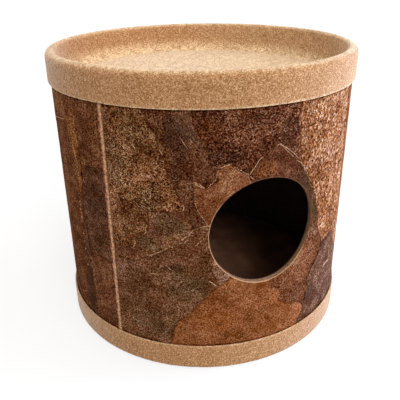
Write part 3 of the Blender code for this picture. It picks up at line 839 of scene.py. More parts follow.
def refined(profile: Profile, longest: float) -> Profile:
    """Split a profile's long straight runs.

    Args:
        profile: Points as radius and height.
        longest: The longest step that may stay.

    Returns:
        The same line with more points.
    """
    result = [profile[0]]
    for start, end in zip(profile, profile[1:]):
        parts = max(1, math.ceil(math.dist(start, end) / longest))
        for i in range(1, parts + 1):
            share = i / parts
            result.append((start[0] + (end[0] - start[0]) * share, start[1] + (end[1] - start[1]) * share))
    return result


def points_of(mesh: bpy.types.Mesh) -> np.ndarray:
    """Read a mesh's points as rows of x, y and z."""
    points = np.empty(len(mesh.vertices) * 3, np.float32)
    mesh.vertices.foreach_get("co", points)
    return points.reshape(-1, 3).astype(float)


def move_points(mesh: bpy.types.Mesh, points: np.ndarray) -> None:
    """Move a mesh's points.

    Args:
        mesh: The mesh, which is changed.
        points: Rows of x, y and z, one for each point.
    """
    mesh.vertices.foreach_set("co", points.astype(np.float32).ravel())
    mesh.update()


@dataclass(frozen=True)
class FeltRelief:
    """How far moulded felt stands out: lumps of fibre and one slow wave. Sizes are in metres."""

    lump: float
    lump_seed: float
    wave: float
    wave_length: float
    wave_seed: float
    lump_size: float = 6 * MM

    def height(self, points: np.ndarray) -> np.ndarray:
        """Give the relief at rows of x, y and z."""
        lumps = clouds(points, self.lump_size, 3, self.lump_seed)
        return self.lump * lumps + self.wave * clouds(points, self.wave_length, 1, self.wave_seed)


@dataclass(frozen=True)
class Turning:
    """A closed shape turned round the drum's axis, with the shares of its surface that may be rough."""

    # Seen with radius to the right and height upwards, the outline runs anticlockwise
    outline: Profile
    steps: int
    rough: Sequence[float] = ()
    # Share of the felt's pale colour at each outline point: cut edges, and painted light on the lid
    cut_and_lit: Sequence[float] = ()
    gap_angle: float | None = None
    gap: float = 0.0

    def angles(self) -> np.ndarray:
        """Angles of the turned copies of the outline, in radians from +X."""
        if self.gap_angle is None:
            return np.arange(self.steps) * FULL_TURN / self.steps
        half = self.gap / 2 / max(radius for radius, _ in self.outline)
        start = math.radians(self.gap_angle - 90)
        return np.linspace(start + half, start + FULL_TURN - half, self.steps + 1)

    def mesh(self) -> tuple[np.ndarray, list, np.ndarray]:
        """Work out the turned mesh.

        Returns:
            Points, faces and each point's number in the outline.
        """
        outline = np.array(self.outline)
        angles = self.angles()
        count = len(outline)
        radius, height = outline[:, 0], outline[:, 1]
        points = np.stack(
            [
                np.outer(np.cos(angles), radius),
                np.outer(np.sin(angles), radius),
                np.tile(height, (len(angles), 1)),
            ],
            axis=-1,
        ).reshape(-1, 3)
        on_axis = radius < 1e-9
        number = np.arange(len(angles) * count).reshape(len(angles), count)
        number[:, on_axis] = number[0, on_axis]
        runs = [(j, (j + 1) % count) for j in range(count) if not (on_axis[j] and on_axis[(j + 1) % count])]
        turns = range(len(angles) if self.gap_angle is None else len(angles) - 1)
        faces = []
        for i in turns:
            this, following = number[i], number[(i + 1) % len(angles)]
            for j, k in runs:
                corners = [this[j], following[j], following[k], this[k]]
                faces.append(list(dict.fromkeys(corner.item() for corner in corners)))
        if self.gap_angle is not None:
            faces += [number[0].tolist(), number[-1][::-1].tolist()]
        used = np.zeros(len(points), bool)
        used[number.ravel()] = True
        renumber = np.cumsum(used) - 1
        faces = [[int(renumber[corner]) for corner in face] for face in faces]
        return points[used], faces, np.tile(np.arange(count), len(angles))[used]

    def build(
        self,
        name: str,
        material: bpy.types.Material,
        relief: Callable[[np.ndarray], np.ndarray] | None = None,
    ) -> bpy.types.Object:
        """Make the turned piece.

        Args:
            name: The piece's name.
            material: Its finish.
            relief: Gives how far each point stands out, in metres, from rows of x, y and z.

        Returns:
            The piece.
        """
        points, faces, corner = self.mesh()
        cut_and_lit = np.array(self.cut_and_lit or [0.0] * len(self.outline), float)
        piece = add_piece(name, points, faces, material, {"cut_and_lit": cut_and_lit[corner]})
        if relief is not None:
            normals = np.empty(len(points) * 3, np.float32)
            piece.data.vertex_normals.foreach_get("vector", normals)
            out = np.array(self.rough)[corner] * relief(points)
            move_points(piece.data, points + normals.reshape(-1, 3) * out[:, None])
        return piece


def in_space(flat: np.ndarray) -> np.ndarray:
    """Give flat points a third coordinate of 0."""
    return np.column_stack([flat, np.zeros(len(flat))])


def bend(flat: np.ndarray, radius: np.ndarray | float) -> np.ndarray:
    """Bend flat points round the drum.

    Args:
        flat: Rows of the way round and the height.
        radius: Distance of each point from the axis.

    Returns:
        Rows of x, y and z.
    """
    angle = flat[:, 0] / WRAP_RADIUS
    return np.stack([radius * np.sin(angle), -radius * np.cos(angle), flat[:, 1]], axis=1)


def inside(points: np.ndarray, loops: Sequence[Loop]) -> np.ndarray:
    """Tell which flat points lie within the loops, holes left out.

    Args:
        points: Rows of flat coordinates.
        loops: The outline and any holes.

    Returns:
        True for each point within.
    """
    within = np.zeros(len(points), bool)
    x, y = points[:, 0], points[:, 1]
    for loop in loops:
        for (ax, ay), (bx, by) in zip(loop, np.roll(loop, -1, axis=0)):
            if ay != by:
                crosses = (ay > y) != (by > y)
                within ^= crosses & (x < (bx - ax) * (y - ay) / (by - ay) + ax)
    return within


def tree_of(points: np.ndarray) -> kdtree.KDTree:
    """Make a search tree of flat points."""
    tree = kdtree.KDTree(len(points))
    for i, (x, y) in enumerate(points.tolist()):
        tree.insert((x, y, 0), i)
    tree.balance()
    return tree


class FlatMesh:
    """A fine mesh of triangles within flat loops, with a row of points just inside the outline."""

    def __init__(self, loops: Sequence[Loop], spacing: float, rim: float = 0.0) -> None:
        """Mesh the loops.

        Args:
            loops: The outline and any holes, as rows of flat coordinates.
            spacing: Distance between points away from the edge.
            rim: How far inside the outline the extra row of points lies, or 0 for none.
        """
        border = np.concatenate(loops)
        nearest = tree_of(border)
        rows = [border]
        if rim:
            rows.append(self._kept(self._drawn_in(loops, rim), loops, nearest, rim * 0.8))
        rows.append(self._kept(self._grid(border, spacing), loops, nearest, max(spacing * 0.55, rim * 1.9)))
        points = np.concatenate(rows)
        edges, start = [], 0
        for loop in loops:
            edges += [(start + i, start + (i + 1) % len(loop)) for i in range(len(loop))]
            start += len(loop)
        made = geometry.delaunay_2d_cdt([Vector(p) for p in points.tolist()], edges, [], 0, 1e-9)
        self.flat = np.array([tuple(p) for p in made[0]])
        triangles = np.array(made[2])
        a, b, c = (self.flat[triangles[:, i]] for i in range(3))
        triangles = triangles[inside((a + b + c) / 3, loops)]
        a, b, c = (self.flat[triangles[:, i]] for i in range(3))
        area = (b[:, 0] - a[:, 0]) * (c[:, 1] - a[:, 1]) - (b[:, 1] - a[:, 1]) * (c[:, 0] - a[:, 0])
        triangles[area < 0] = triangles[area < 0][:, ::-1]
        self.triangles = triangles
        place = {old: new for new, olds in enumerate(made[3]) for old in olds}
        self.loops, start = [], 0
        for loop in loops:
            self.loops.append(np.array([place[start + i] for i in range(len(loop))]))
            start += len(loop)
        found = [nearest.find((x, y, 0)) for x, y in self.flat.tolist()]
        self.edge = np.array([distance for _, _, distance in found])
        self.nearest = np.array([i for _, i, _ in found])

    @staticmethod
    def _drawn_in(loops: Sequence[Loop], distance: float) -> np.ndarray:
        """Points of the loops moved to their left."""
        rows = []
        for loop in loops:
            along = np.roll(loop, -1, axis=0) - np.roll(loop, 1, axis=0)
            along /= np.maximum(np.linalg.norm(along, axis=1, keepdims=True), 1e-12)
            rows.append(loop + np.stack([-along[:, 1], along[:, 0]], axis=1) * distance)
        return np.concatenate(rows)

    @staticmethod
    def _grid(border: np.ndarray, spacing: float) -> np.ndarray:
        """Staggered rows of points over the border's box."""
        low, high = border.min(0), border.max(0)
        rows = np.arange(low[1], high[1], spacing * math.sqrt(3) / 2)
        columns = np.arange(low[0], high[0] + spacing, spacing)
        grid = np.stack(np.meshgrid(columns, rows), axis=-1)
        grid[1::2, :, 0] += spacing / 2
        return grid.reshape(-1, 2)

    @staticmethod
    def _kept(points: np.ndarray, loops: Sequence[Loop], nearest: kdtree.KDTree, clear: float) -> np.ndarray:
        """Those points that lie within the loops and well clear of them."""
        points = points[inside(points, loops)]
        far = [nearest.find((x, y, 0))[2] > clear for x, y in points.tolist()]
        return points[np.array(far, bool)]


def bent_solid(
    name: str,
    front: FlatMesh,
    back: FlatMesh,
    outer: np.ndarray,
    inner: float,
    material: bpy.types.Material,
    attributes: dict[str, np.ndarray] | None = None,
) -> bpy.types.Object:
    """Bend a front and a back sheet round the drum and close them along their loops.

    Args:
        name: The piece's name.
        front: The sheet that faces out.
        back: The sheet that faces in, with as many points along each loop.
        outer: Radius of each front point.
        inner: Radius of the back sheet.
        material: Its finish.
        attributes: Values for each front point that the finish reads. A back point takes its front edge's.

    Returns:
        The piece.
    """
    points = np.concatenate([bend(front.flat, outer), bend(back.flat, inner)])
    shift = len(front.flat)
    faces = front.triangles.tolist() + (back.triangles[:, ::-1] + shift).tolist()
    half_way_round = math.pi * WRAP_RADIUS - 1e-6
    for upper, lower in zip(front.loops, back.loops):
        for i, j in zip(range(len(upper)), np.roll(range(len(upper)), -1)):
            if min(abs(front.flat[upper[[i, j]], 0])) < half_way_round:
                faces.append([int(n) for n in (upper[j], upper[i], lower[i] + shift, lower[j] + shift)])
    values = {}
    for key, value in (attributes or {}).items():
        tail = np.zeros((len(back.flat), *value.shape[1:]))
        for upper, lower in zip(front.loops, back.loops):
            tail[lower] = value[upper]
        values[key] = np.concatenate([value, tail])
    return add_piece(name, points, faces, material, values)


def merge_seam(piece: bpy.types.Object) -> None:
    """Join the two ends of a sheet that runs all the way round."""
    mesh = bmesh.new()
    mesh.from_mesh(piece.data)
    bmesh.ops.remove_doubles(mesh, verts=mesh.verts, dist=1e-6)
    mesh.to_mesh(piece.data)
    mesh.free()


@dataclass(frozen=True)
class Base:
    """The felt band with its turned-under edge, the underside and the floor board."""

    felt: float = 0.0024
    corner: float = 0.0045
    turn_under: float = 0.0200
    joint_angle: float = -65.5
    joint_gap: float = 0.0010
    steps: int = 480
    longest_step: float = 2.6 * MM
    # Below this height the band is flat, where it stands on the floor
    flat_foot: float = 0.2 * MM
    relief: FeltRelief = FeltRelief(lump=0.00022, lump_seed=0, wave=0.0002, wave_length=70 * MM, wave_seed=4)
    cut_edge: float = 0.2

    def band(self) -> bpy.types.Object:
        """Make the felt band, its two ends butted at the left front.

        Returns:
            The band.
        """
        radius, top = reach("base_band"), highest("base_band")
        centre = (radius - self.corner, self.corner)
        soft = self.felt * SOFT_EDGE
        foot = radius - self.turn_under
        hidden = [
            (radius - self.felt, top - soft),
            (radius - self.felt, self.corner),
            *arc(centre, self.corner - self.felt, 0, -90, 6)[1:],
            (foot, self.felt),
            (foot, 0.0),
        ]
        shown = [
            *arc(centre, self.corner, -90, 0, 8),
            *arc((radius - soft, top - soft), soft, 0, 90, 4),
            *arc((radius - self.felt + soft, top - soft), soft, 90, 180, 3)[:-1],
        ]
        shown = refined(shown, self.longest_step)
        smooth = [0.0] * len(hidden)
        rough = [1.0 if height > self.flat_foot else 0.0 for _, height in shown]
        cut = [self.cut_edge * max(0.0, 1 - (top - height) / CUT_EDGE) for _, height in shown]
        turning = Turning(
            hidden + shown, self.steps, smooth + rough, smooth + cut, self.joint_angle, self.joint_gap
        )
        band = turning.build("felt_base_band", CAMEL_FELT.dress(), self.relief.height)
        return settle(band, "drum", "felt_camel", "base_band")

    def build(self) -> None:
        """Make the band and dress the board and the underside."""
        self.band()
        repaint("base_board", PLY.dress())
        repaint("base_underside", DARK_FELT.dress())


@dataclass(frozen=True)
class Wall:
    """The tube board wall and its lining, with the entrance cut straight through both."""

    board: float = 0.0050
    lining: float = 0.0018
    spacing: float = 0.009
    hole_points: int = 160
    steps_around: int = 240
    steps_up: int = 49

    def hole(self, cut_radius: float, radius: float) -> Loop:
        """The entrance as it lies on one face of the wall, clockwise.

        Args:
            cut_radius: Radius of the cut through the wall.
            radius: Radius of that face of the wall.

        Returns:
            Rows of flat coordinates.
        """
        turn = -np.arange(self.hole_points) * FULL_TURN / self.hole_points
        way_round = np.arcsin(cut_radius * np.cos(turn) / radius) * WRAP_RADIUS
        return np.stack([way_round, ENTRANCE_HEIGHT + cut_radius * np.sin(turn)], axis=1)

    def sheet(self, low: float, high: float, cut_radius: float, radius: float) -> FlatMesh:
        """A band all the way round with the entrance in it.

        Args:
            low: Height of its lower edge.
            high: Height of its upper edge.
            cut_radius: Radius of the entrance.
            radius: Radius of this face.

        Returns:
            The meshed band.
        """
        half = math.pi * WRAP_RADIUS
        around = np.linspace(-half, half, self.steps_around + 1)
        up = np.linspace(low, high, self.steps_up + 1)[1:-1]
        outline = np.concatenate(
            [
                np.stack([around, np.full(len(around), low)], axis=1),
                np.stack([np.full(len(up), half), up], axis=1),
                np.stack([around[::-1], np.full(len(around), high)], axis=1),
                np.stack([np.full(len(up), -half), up[::-1]], axis=1),
            ]
        )
        return FlatMesh([outline, self.hole(cut_radius, radius)], self.spacing)

    def tube(
        self,
        name: str,
        node: str,
        cut_radius: float,
        thickness: float,
        material: bpy.types.Material,
        slot: str,
    ) -> None:
        """Make one tube with the entrance through it.

        Args:
            name: The piece's name.
            node: The node that it stands for.
            cut_radius: Radius of the entrance.
            thickness: The wall's thickness.
            material: Its finish.
            slot: The material slot, handed on to settle.
        """
        outer = reach(node)
        inner = outer - thickness
        low, high = lowest(node), highest(node)
        front = self.sheet(low, high, cut_radius, outer)
        back = self.sheet(low, high, cut_radius, inner)
        tube = bent_solid(name, front, back, np.full(len(front.flat), outer), inner, material)
        merge_seam(tube)
        settle(tube, "drum", slot, node)

    def build(self) -> None:
        """Make the wall and the lining."""
        self.tube("tube_wall", "drum_wall", ENTRANCE_RADIUS, self.board, TUBE_BOARD.dress(), "tube_board")
        self.tube("felt_wall_lining", "wall_lining", TRIM_RADIUS, self.lining, DARK_FELT.dress(), "felt_dark")


@dataclass(frozen=True)
class Tear:
    """A stretch of one hide's torn edge that shows its pale core. Ends are flat, in millimetres."""

    hide: str
    start: tuple[float, float]
    end: tuple[float, float]
    strength: float = 1.0


BRIGHT_TEARS = [
    Tear("arch", (11, 336), (30, 322)),
    Tear("arch", (30, 322), (52, 298), 0.75),
    Tear("arch", (52, 298), (70, 272), 0.6),
    Tear("arch", (-27, 300), (-14, 320)),
    Tear("torn_tan", (-29, 297), (-22, 288)),
    Tear("torn_tan", (-97, 264), (-80, 232), 0.8),
    Tear("torn_tan", (-96, 292), (-84, 286), 0.8),
    Tear("torn_tan", (-60, 305), (-28, 300), 0.5),
    Tear("olive", (-80, 234), (-112, 214)),
    Tear("olive", (-112, 214), (-156, 184), 0.9),
    Tear("rust", (-138, 60), (-128, 84), 0.5),
    Tear("rust", (-128, 84), (-80, 128), 0.25),
    Tear("sliver", (-78, 150), (-66, 142), 0.5),
    Tear("left_upper", (-348, 339), (-300, 346), 0.7),
    Tear("left_tan", (-292, 320), (-284, 300), 0.7),
    Tear("left_tan", (-284, 300), (-284, 220), 0.5),
    Tear("side_red", (-284, 260), (-290, 150), 0.45),
    Tear("left_lower", (-276, 150), (-262, 60), 0.35),
    Tear("copper", (42, 340), (48, 300), 0.4),
]


@dataclass(frozen=True)
class Stain:
    """A patch of one hide that took the dye otherwise. Its place and reach are flat, in millimetres."""

    hide: str
    centre: tuple[float, float]
    reach: tuple[float, float]
    colour: str
    strength: float = 0.7


STAINS = [
    Stain("granular", (-160, 352), (34, 30), "#6A4C28", 0.4),
    Stain("granular", (-203, 318), (13, 34), "#5E381C", 0.5),
    Stain("granular", (-180, 232), (22, 20), "#6A3E1F", 0.4),
    Stain("granular", (-150, 262), (12, 26), "#4A2B13", 0.5),
    Stain("purple", (-131, 336), (9, 34), "#6A4220", 0.6),
    Stain("purple", (-116, 352), (20, 26), "#3E2413"),
    Stain("purple", (-92, 335), (14, 26), "#5C331C", 0.45),
    Stain("purple", (-100, 255), (16, 24), "#5A311A", 0.45),
    Stain("purple", (-125, 300), (14, 14), "#442515", 0.5),
    Stain("cracked", (-76, 358), (16, 14), "#744221", 0.5),
    Stain("cracked", (-60, 326), (24, 10), "#3C2111", 0.65),
    Stain("cracked", (28, 346), (14, 22), "#482715", 0.6),
    Stain("cracked", (-20, 366), (30, 10), "#4E2915", 0.5),
    Stain("grey", (-163, 203), (18, 14), "#584428", 0.5),
    Stain("grey", (-128, 232), (22, 16), "#524028", 0.5),
    Stain("olive", (-98, 208), (26, 16), "#683C1F", 0.5),
    Stain("olive", (-118, 186), (18, 9), "#643A1E", 0.45),
    Stain("olive", (-124, 168), (13, 7), "#341D0E"),
    Stain("olive", (-108, 140), (26, 20), "#504026", 0.5),
    Stain("olive", (-188, 128), (22, 34), "#5E3E24", 0.35),
    Stain("olive", (-150, 72), (36, 20), "#58442A", 0.35),
    Stain("olive", (-84, 176), (7, 22), "#543318", 0.6),
    Stain("rust", (38, 104), (30, 16), "#965627", 0.35),
    Stain("rust", (-70, 84), (30, 18), "#8E5021", 0.4),
    Stain("rust", (-10, 58), (44, 10), "#744018", 0.4),
    Stain("russet", (62, 92), (16, 20), "#5E3721", 0.6),
    Stain("russet", (78, 150), (14, 26), "#8A5838", 0.4),
    Stain("plum", (137, 113), (13, 3), "#A8856E", 0.6),
    Stain("plum", (94, 78), (13, 24), "#4C2F1E", 0.8),
    Stain("plum", (150, 66), (26, 14), "#5E402F", 0.5),
    Stain("arch", (56, 288), (10, 22), "#4A2D1A", 0.8),
    Stain("arch", (-4, 304), (18, 10), "#844E26", 0.5),
    Stain("copper", (133, 288), (3, 8), "#5A2B13", 0.85),
    Stain("copper", (133, 268), (3, 6), "#6A371A"),
    Stain("copper", (86, 290), (2.4, 7), "#5A2D15", 0.8),
    Stain("copper", (80, 350), (2.4, 4), "#5A2B15", 0.8),
    Stain("copper", (105, 341), (2.2, 5), "#643318"),
    Stain("copper", (150, 260), (3, 7), "#6A371A"),
    Stain("copper", (153, 238), (2.6, 6), "#6A371A"),
    Stain("copper", (110, 234), (2.2, 4), "#643318"),
    Stain("arch", (62, 282), (9, 26), "#4A3C23", 0.75),
    Stain("arch", (75, 256), (5, 12), "#3F331A", 0.75),
    Stain("arch", (82, 238), (5, 12), "#3F331A", 0.75),
    Stain("russet", (88, 220), (6, 14), "#3F331A"),
    Stain("arch", (88, 220), (6, 14), "#3F331A"),
    Stain("russet", (84, 190), (10, 10), "#7C583F", 0.5),
    Stain("rust", (66, 71), (7, 9), "#B06D4D", 0.55),
    Stain("copper", (96, 214), (14, 22), "#8A522C", 0.5),
    Stain("copper", (56, 336), (12, 40), "#7E4A26", 0.6),
    Stain("left_tan", (-300, 300), (16, 20), "#8E4E21", 0.6),
    Stain("left_upper", (-250, 330), (16, 30), "#4E2510", 0.5),
    Stain("left_middle", (-246, 240), (18, 30), "#3E2517", 0.5),
]


@dataclass(frozen=True)
class Patchwork:
    """The torn hides glued round the drum. Higher ones in the pile stand further out."""

    underside: float = 0.22375
    lowest_top: float = 0.22420
    step_up: float = 0.00026
    spacing: float = 0.0024
    edge_spacing: float = 0.0013
    rim: float = 0.0007
    # Felt lies close over the hides' ends, under the skirt and behind the base band
    covered_reach: float = 0.22545
    skirt_low: float = 0.3790
    band_high: float = 0.0430
    outer_face: float = 0.2243
    back_spacing: float = 14 * MM
    # A hide's surface stands out in lumps, its rim is rounded down and a torn rim curls up a little
    lump: float = 0.00016
    broad_lump_size: float = 30 * MM
    smooth_lump_size: float = 9 * MM
    rough_lump_size: float = 6 * MM
    rounding: float = 0.00022
    curl: float = 0.0002
    curl_width: float = 2.2 * MM
    # A torn edge wanders slowly, by millimetres, and in small teeth. Both fade out towards a cut edge.
    wander: float = 1.1
    wander_size: float = 8 * MM
    teeth: float = 0.9
    teeth_size: float = 2.8 * MM
    fade: float = 5 * MM
    # Round the tan hide left of the entrance the edges tore into larger teeth
    ragged_spot: tuple[float, float, float] = (-0.066, 0.296, 0.0)
    ragged_reach: float = 0.046
    ragged_teeth: float = 1.5
    # A bright tear fades out over this width, and pale fibre comes and goes along it
    tear_width: float = 3.5 * MM
    tear_broken_size: float = 5 * MM
    stain_ragged_size: float = 14 * MM
    # The cut round the entrance shows its pale core this far, with a painted highlight below and left of it
    trim_width: float = 0.9 * MM
    # Painted shade lies close under the skirt, close above the band and along the seam strip's right side
    shade_line_high: float = 0.3824
    shade_line_low: float = 0.0404
    seam: float = -0.2164

    def outline_of(self, node: str) -> Loop:
        """Read a hide's outline off the outer face of its node.

        Args:
            node: The node's name.

        Returns:
            Corners in flat coordinates, anticlockwise.
        """
        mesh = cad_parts[node].data
        points = points_of(mesh)
        far = np.hypot(points[:, 0], points[:, 1]) > self.outer_face
        angle = np.arctan2(points[:, 0], -points[:, 1])
        middle = angle[far][0]
        angle = middle + (angle - middle + math.pi) % FULL_TURN - math.pi
        flat = np.stack([angle * WRAP_RADIUS, points[:, 2]], axis=1)
        keys = [tuple(row) for row in np.round(flat, 6).tolist()]
        sides = set()
        for polygon in mesh.polygons:
            corners = [keys[i] for i in polygon.vertices]
            if all(far[i] for i in polygon.vertices):
                sides |= set(zip(corners, corners[1:] + corners[:1]))
        following = {a: b for a, b in sides if (b, a) not in sides}
        loop = [next(iter(sorted(following)))]
        while following[loop[-1]] != loop[0]:
            loop.append(following[loop[-1]])
        corners = np.array(loop)
        before = corners - np.roll(corners, 1, axis=0)
        after = np.roll(corners, -1, axis=0) - corners
        turn = abs(before[:, 0] * after[:, 1] - before[:, 1] * after[:, 0])
        return corners[turn > 4e-6 * (np.linalg.norm(before, axis=1) + np.linalg.norm(after, axis=1))]

    def straight(self, start: np.ndarray, end: np.ndarray) -> bool:
        """Whether a side of an outline was cut: along the top, the bottom or the seam."""
        level = abs(start[1] - end[1]) < 1e-5 and not self.band_high < start[1] < self.skirt_low
        upright = abs(start[0] - end[0]) < 1e-5 and abs(start[1] - end[1]) > 30 * MM
        return level or upright

    @staticmethod
    def off_entrance(point: np.ndarray) -> float:
        """Distance of a flat point from the entrance's cut."""
        across = WRAP_RADIUS * math.sin(point[0] / WRAP_RADIUS)
        if abs(point[0]) > math.pi / 2 * WRAP_RADIUS:
            return 1.0
        return abs(math.hypot(across, point[1] - ENTRANCE_HEIGHT) - TRIM_RADIUS)

    def torn(self, corners: Loop) -> tuple[Loop, np.ndarray]:
        """Refine an outline and fray its torn sides, alike on both hides of an edge.

        Args:
            corners: The outline's corners.

        Returns:
            The finer outline, and for each of its points whether it is torn, not cut.
        """
        points, frayed = [], []
        for start, end in zip(corners, np.roll(corners, -1, axis=0)):
            parts = max(1, round(np.linalg.norm(end - start) / self.edge_spacing))
            at_entrance = max(self.off_entrance(start), self.off_entrance(end)) < 0.4 * MM
            cut = at_entrance or self.straight(start, end)
            for i in range(parts):
                point = start + (end - start) * i / parts
                if at_entrance:
                    across = WRAP_RADIUS * math.sin(point[0] / WRAP_RADIUS)
                    away = np.array([across, point[1] - ENTRANCE_HEIGHT])
                    away *= TRIM_RADIUS / np.linalg.norm(away)
                    way_round = math.asin(away[0] / WRAP_RADIUS) * WRAP_RADIUS
                    point = np.array([way_round, away[1] + ENTRANCE_HEIGHT])
                points.append(point)
                frayed.append(not cut)
        loop, frayed = np.array(points), np.array(frayed)
        fixed = loop[~frayed]
        nearest = tree_of(fixed) if len(fixed) else None
        for i in np.flatnonzero(frayed):
            place = Vector((*loop[i], 0))
            fade = min(1.0, nearest.find(place)[2] / self.fade) if nearest else 1.0
            far = (place - Vector(self.ragged_spot)).length
            teeth = self.teeth + self.ragged_teeth * max(0.0, 1 - far / self.ragged_reach)
            moved = noise.noise_vector(place / self.wander_size) * self.wander
            moved += noise.noise_vector(place / self.teeth_size) * teeth
            loop[i] += np.array(moved[:2]) * MM * fade
        return loop, frayed

    def relief(self, flat: np.ndarray, grain: Grain) -> np.ndarray:
        """Lumps of a hide's surface, from about -1 to 1.

        Args:
            flat: Rows of flat coordinates.
            grain: The kind of surface.

        Returns:
            One value for each point.
        """
        rough = grain in (Grain.GRANULAR, Grain.PITTED, Grain.CRACKED)
        broad = clouds(in_space(flat), self.broad_lump_size, 1, 2)
        fine = clouds(in_space(flat), self.rough_lump_size if rough else self.smooth_lump_size, 2, 5)
        return 0.5 * broad + fine

    def tear_strength(self, name: str, level: int, flat: np.ndarray) -> np.ndarray:
        """How pale a torn edge shows.

        Args:
            name: The hide's name.
            level: Its place in the pile. The upper ones show more of their edges.
            flat: Rows of flat coordinates.

        Returns:
            A share for each point.
        """
        broken = clouds(in_space(flat), self.tear_broken_size, 2, 8)
        strength = np.clip(0.35 * level * (broken - 0.15), 0, 0.4)
        for tear in (tear for tear in BRIGHT_TEARS if tear.hide == name):
            start, end = np.array(tear.start) * MM, np.array(tear.end) * MM
            along = np.clip(((flat - start) @ (end - start)) / ((end - start) @ (end - start)), 0, 1)
            away = np.linalg.norm(flat - start - along[:, None] * (end - start), axis=1)
            near = np.clip(1.6 - away / self.tear_width, 0, 1)
            strength = np.maximum(strength, tear.strength * near * np.clip(0.75 + 1.8 * broken, 0.1, 1))
        return strength

    def stained(self, name: str, flat: np.ndarray) -> np.ndarray:
        """Colour and strength of a hide's stains.

        Args:
            name: The hide's name.
            flat: Rows of flat coordinates.

        Returns:
            Linear colour and alpha for each point.
        """
        ragged = 0.55 * clouds(in_space(flat), self.stain_ragged_size, 3, 11)
        result = np.zeros((len(flat), 4))
        for stain in (stain for stain in STAINS if stain.hide == name):
            away = np.linalg.norm((flat / MM - stain.centre) / stain.reach, axis=1) + ragged
            share = stain.strength * np.clip((1.25 - away) / 0.5, 0, 1)
            stronger = share > result[:, 3]
            result[stronger] = np.column_stack(
                [np.tile(linear(stain.colour)[:3], (stronger.sum(), 1)), share[stronger]]
            )
        return result

    def painted_shade_lines(self, flat: np.ndarray) -> tuple[np.ndarray, ...]:
        """How far each point is from the painted shade under the skirt, above the band and beside the seam
        strip.
        """
        below, above = self.shade_line_high - flat[:, 1], flat[:, 1] - self.shade_line_low
        beside = np.where(flat[:, 0] > self.seam, flat[:, 0] - self.seam, 1.0)
        return np.maximum(below, 0) * 0.6, np.maximum(above, 0) * 0.6, beside * 0.7

    def entrance_core_and_highlight(self, flat: np.ndarray) -> np.ndarray:
        """How pale the cut shows round the entrance: its pale core, with a painted highlight below and left
        of it.
        """
        way_round, above = flat[:, 0], flat[:, 1] - ENTRANCE_HEIGHT
        away = np.abs(np.hypot(WRAP_RADIUS * np.sin(way_round / WRAP_RADIUS), above) - TRIM_RADIUS)
        highlight_lower_left = np.clip(0.55 - 3 * (way_round * 0.7 + above) / TRIM_RADIUS, 0.15, 0.85)
        front = np.abs(way_round) < 2 * TRIM_RADIUS
        return highlight_lower_left * front * (away < self.trim_width)

    def patch(self, name: str, finish: TornHide, level: int) -> bpy.types.Object:
        """Make one hide.

        Args:
            name: The hide's name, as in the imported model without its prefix.
            finish: Its finish.
            level: Its place in the pile.

        Returns:
            The hide.
        """
        node = "hide_" + name
        loop, frayed = self.torn(self.outline_of(node))
        front = FlatMesh([loop], self.spacing, self.rim)
        back = FlatMesh([loop], self.back_spacing)
        relief = self.relief(front.flat, finish.grain)
        on_tear = frayed[front.nearest].astype(float)
        rounded = np.clip(front.edge / self.rim, 0, 1)
        lip = self.curl * level / 3 * on_tear * np.exp(-front.edge / self.curl_width)
        height = self.lowest_top + level * self.step_up + self.lump * relief + lip
        outer = height - (1 - rounded) * self.rounding
        covered = (front.flat[:, 1] > self.skirt_low) | (front.flat[:, 1] < self.band_high)
        outer = np.where(covered, np.minimum(outer, self.covered_reach), outer)
        torn = self.tear_strength(name, level, front.flat) * on_tear
        # Each hide reads its finish's pattern from another part of it
        own_part = np.full(len(front.flat), sum(map(ord, name)) * 0.013)
        attributes = {
            "flat": np.column_stack([front.flat, own_part]),
            # The edge distance also carries the painted shade lines, which darken the hide as its rim does
            "edge": np.minimum.reduce([front.edge, *self.painted_shade_lines(front.flat)]) / MM,
            # The torn attribute also carries the entrance's pale core and its painted highlight
            "torn": np.maximum(torn, self.entrance_core_and_highlight(front.flat)),
            "relief": relief,
            "stain": self.stained(name, front.flat),
        }
        material = finish.dress(node)
        hide = bent_solid("torn_" + node, front, back, outer, self.underside, material, attributes)
        return settle(hide, "drum", finish.slot, node)

    def build(self) -> None:
        """Make all the hides."""
        for name, finish in FINISHES.items():
            self.patch(name, finish, finish.level)
        for number, (like, level) in enumerate(BACK_FINISHES, 1):
            self.patch(f"back_{number}", FINISHES[like], level)


@dataclass(frozen=True)
class Flake:
    """A sliver of torn grain that curls up from a hide. Its line is in flat coordinates, in millimetres."""

    line: tuple[tuple[float, float], ...]
    width: float = 0.9
    lift: float = 0.3


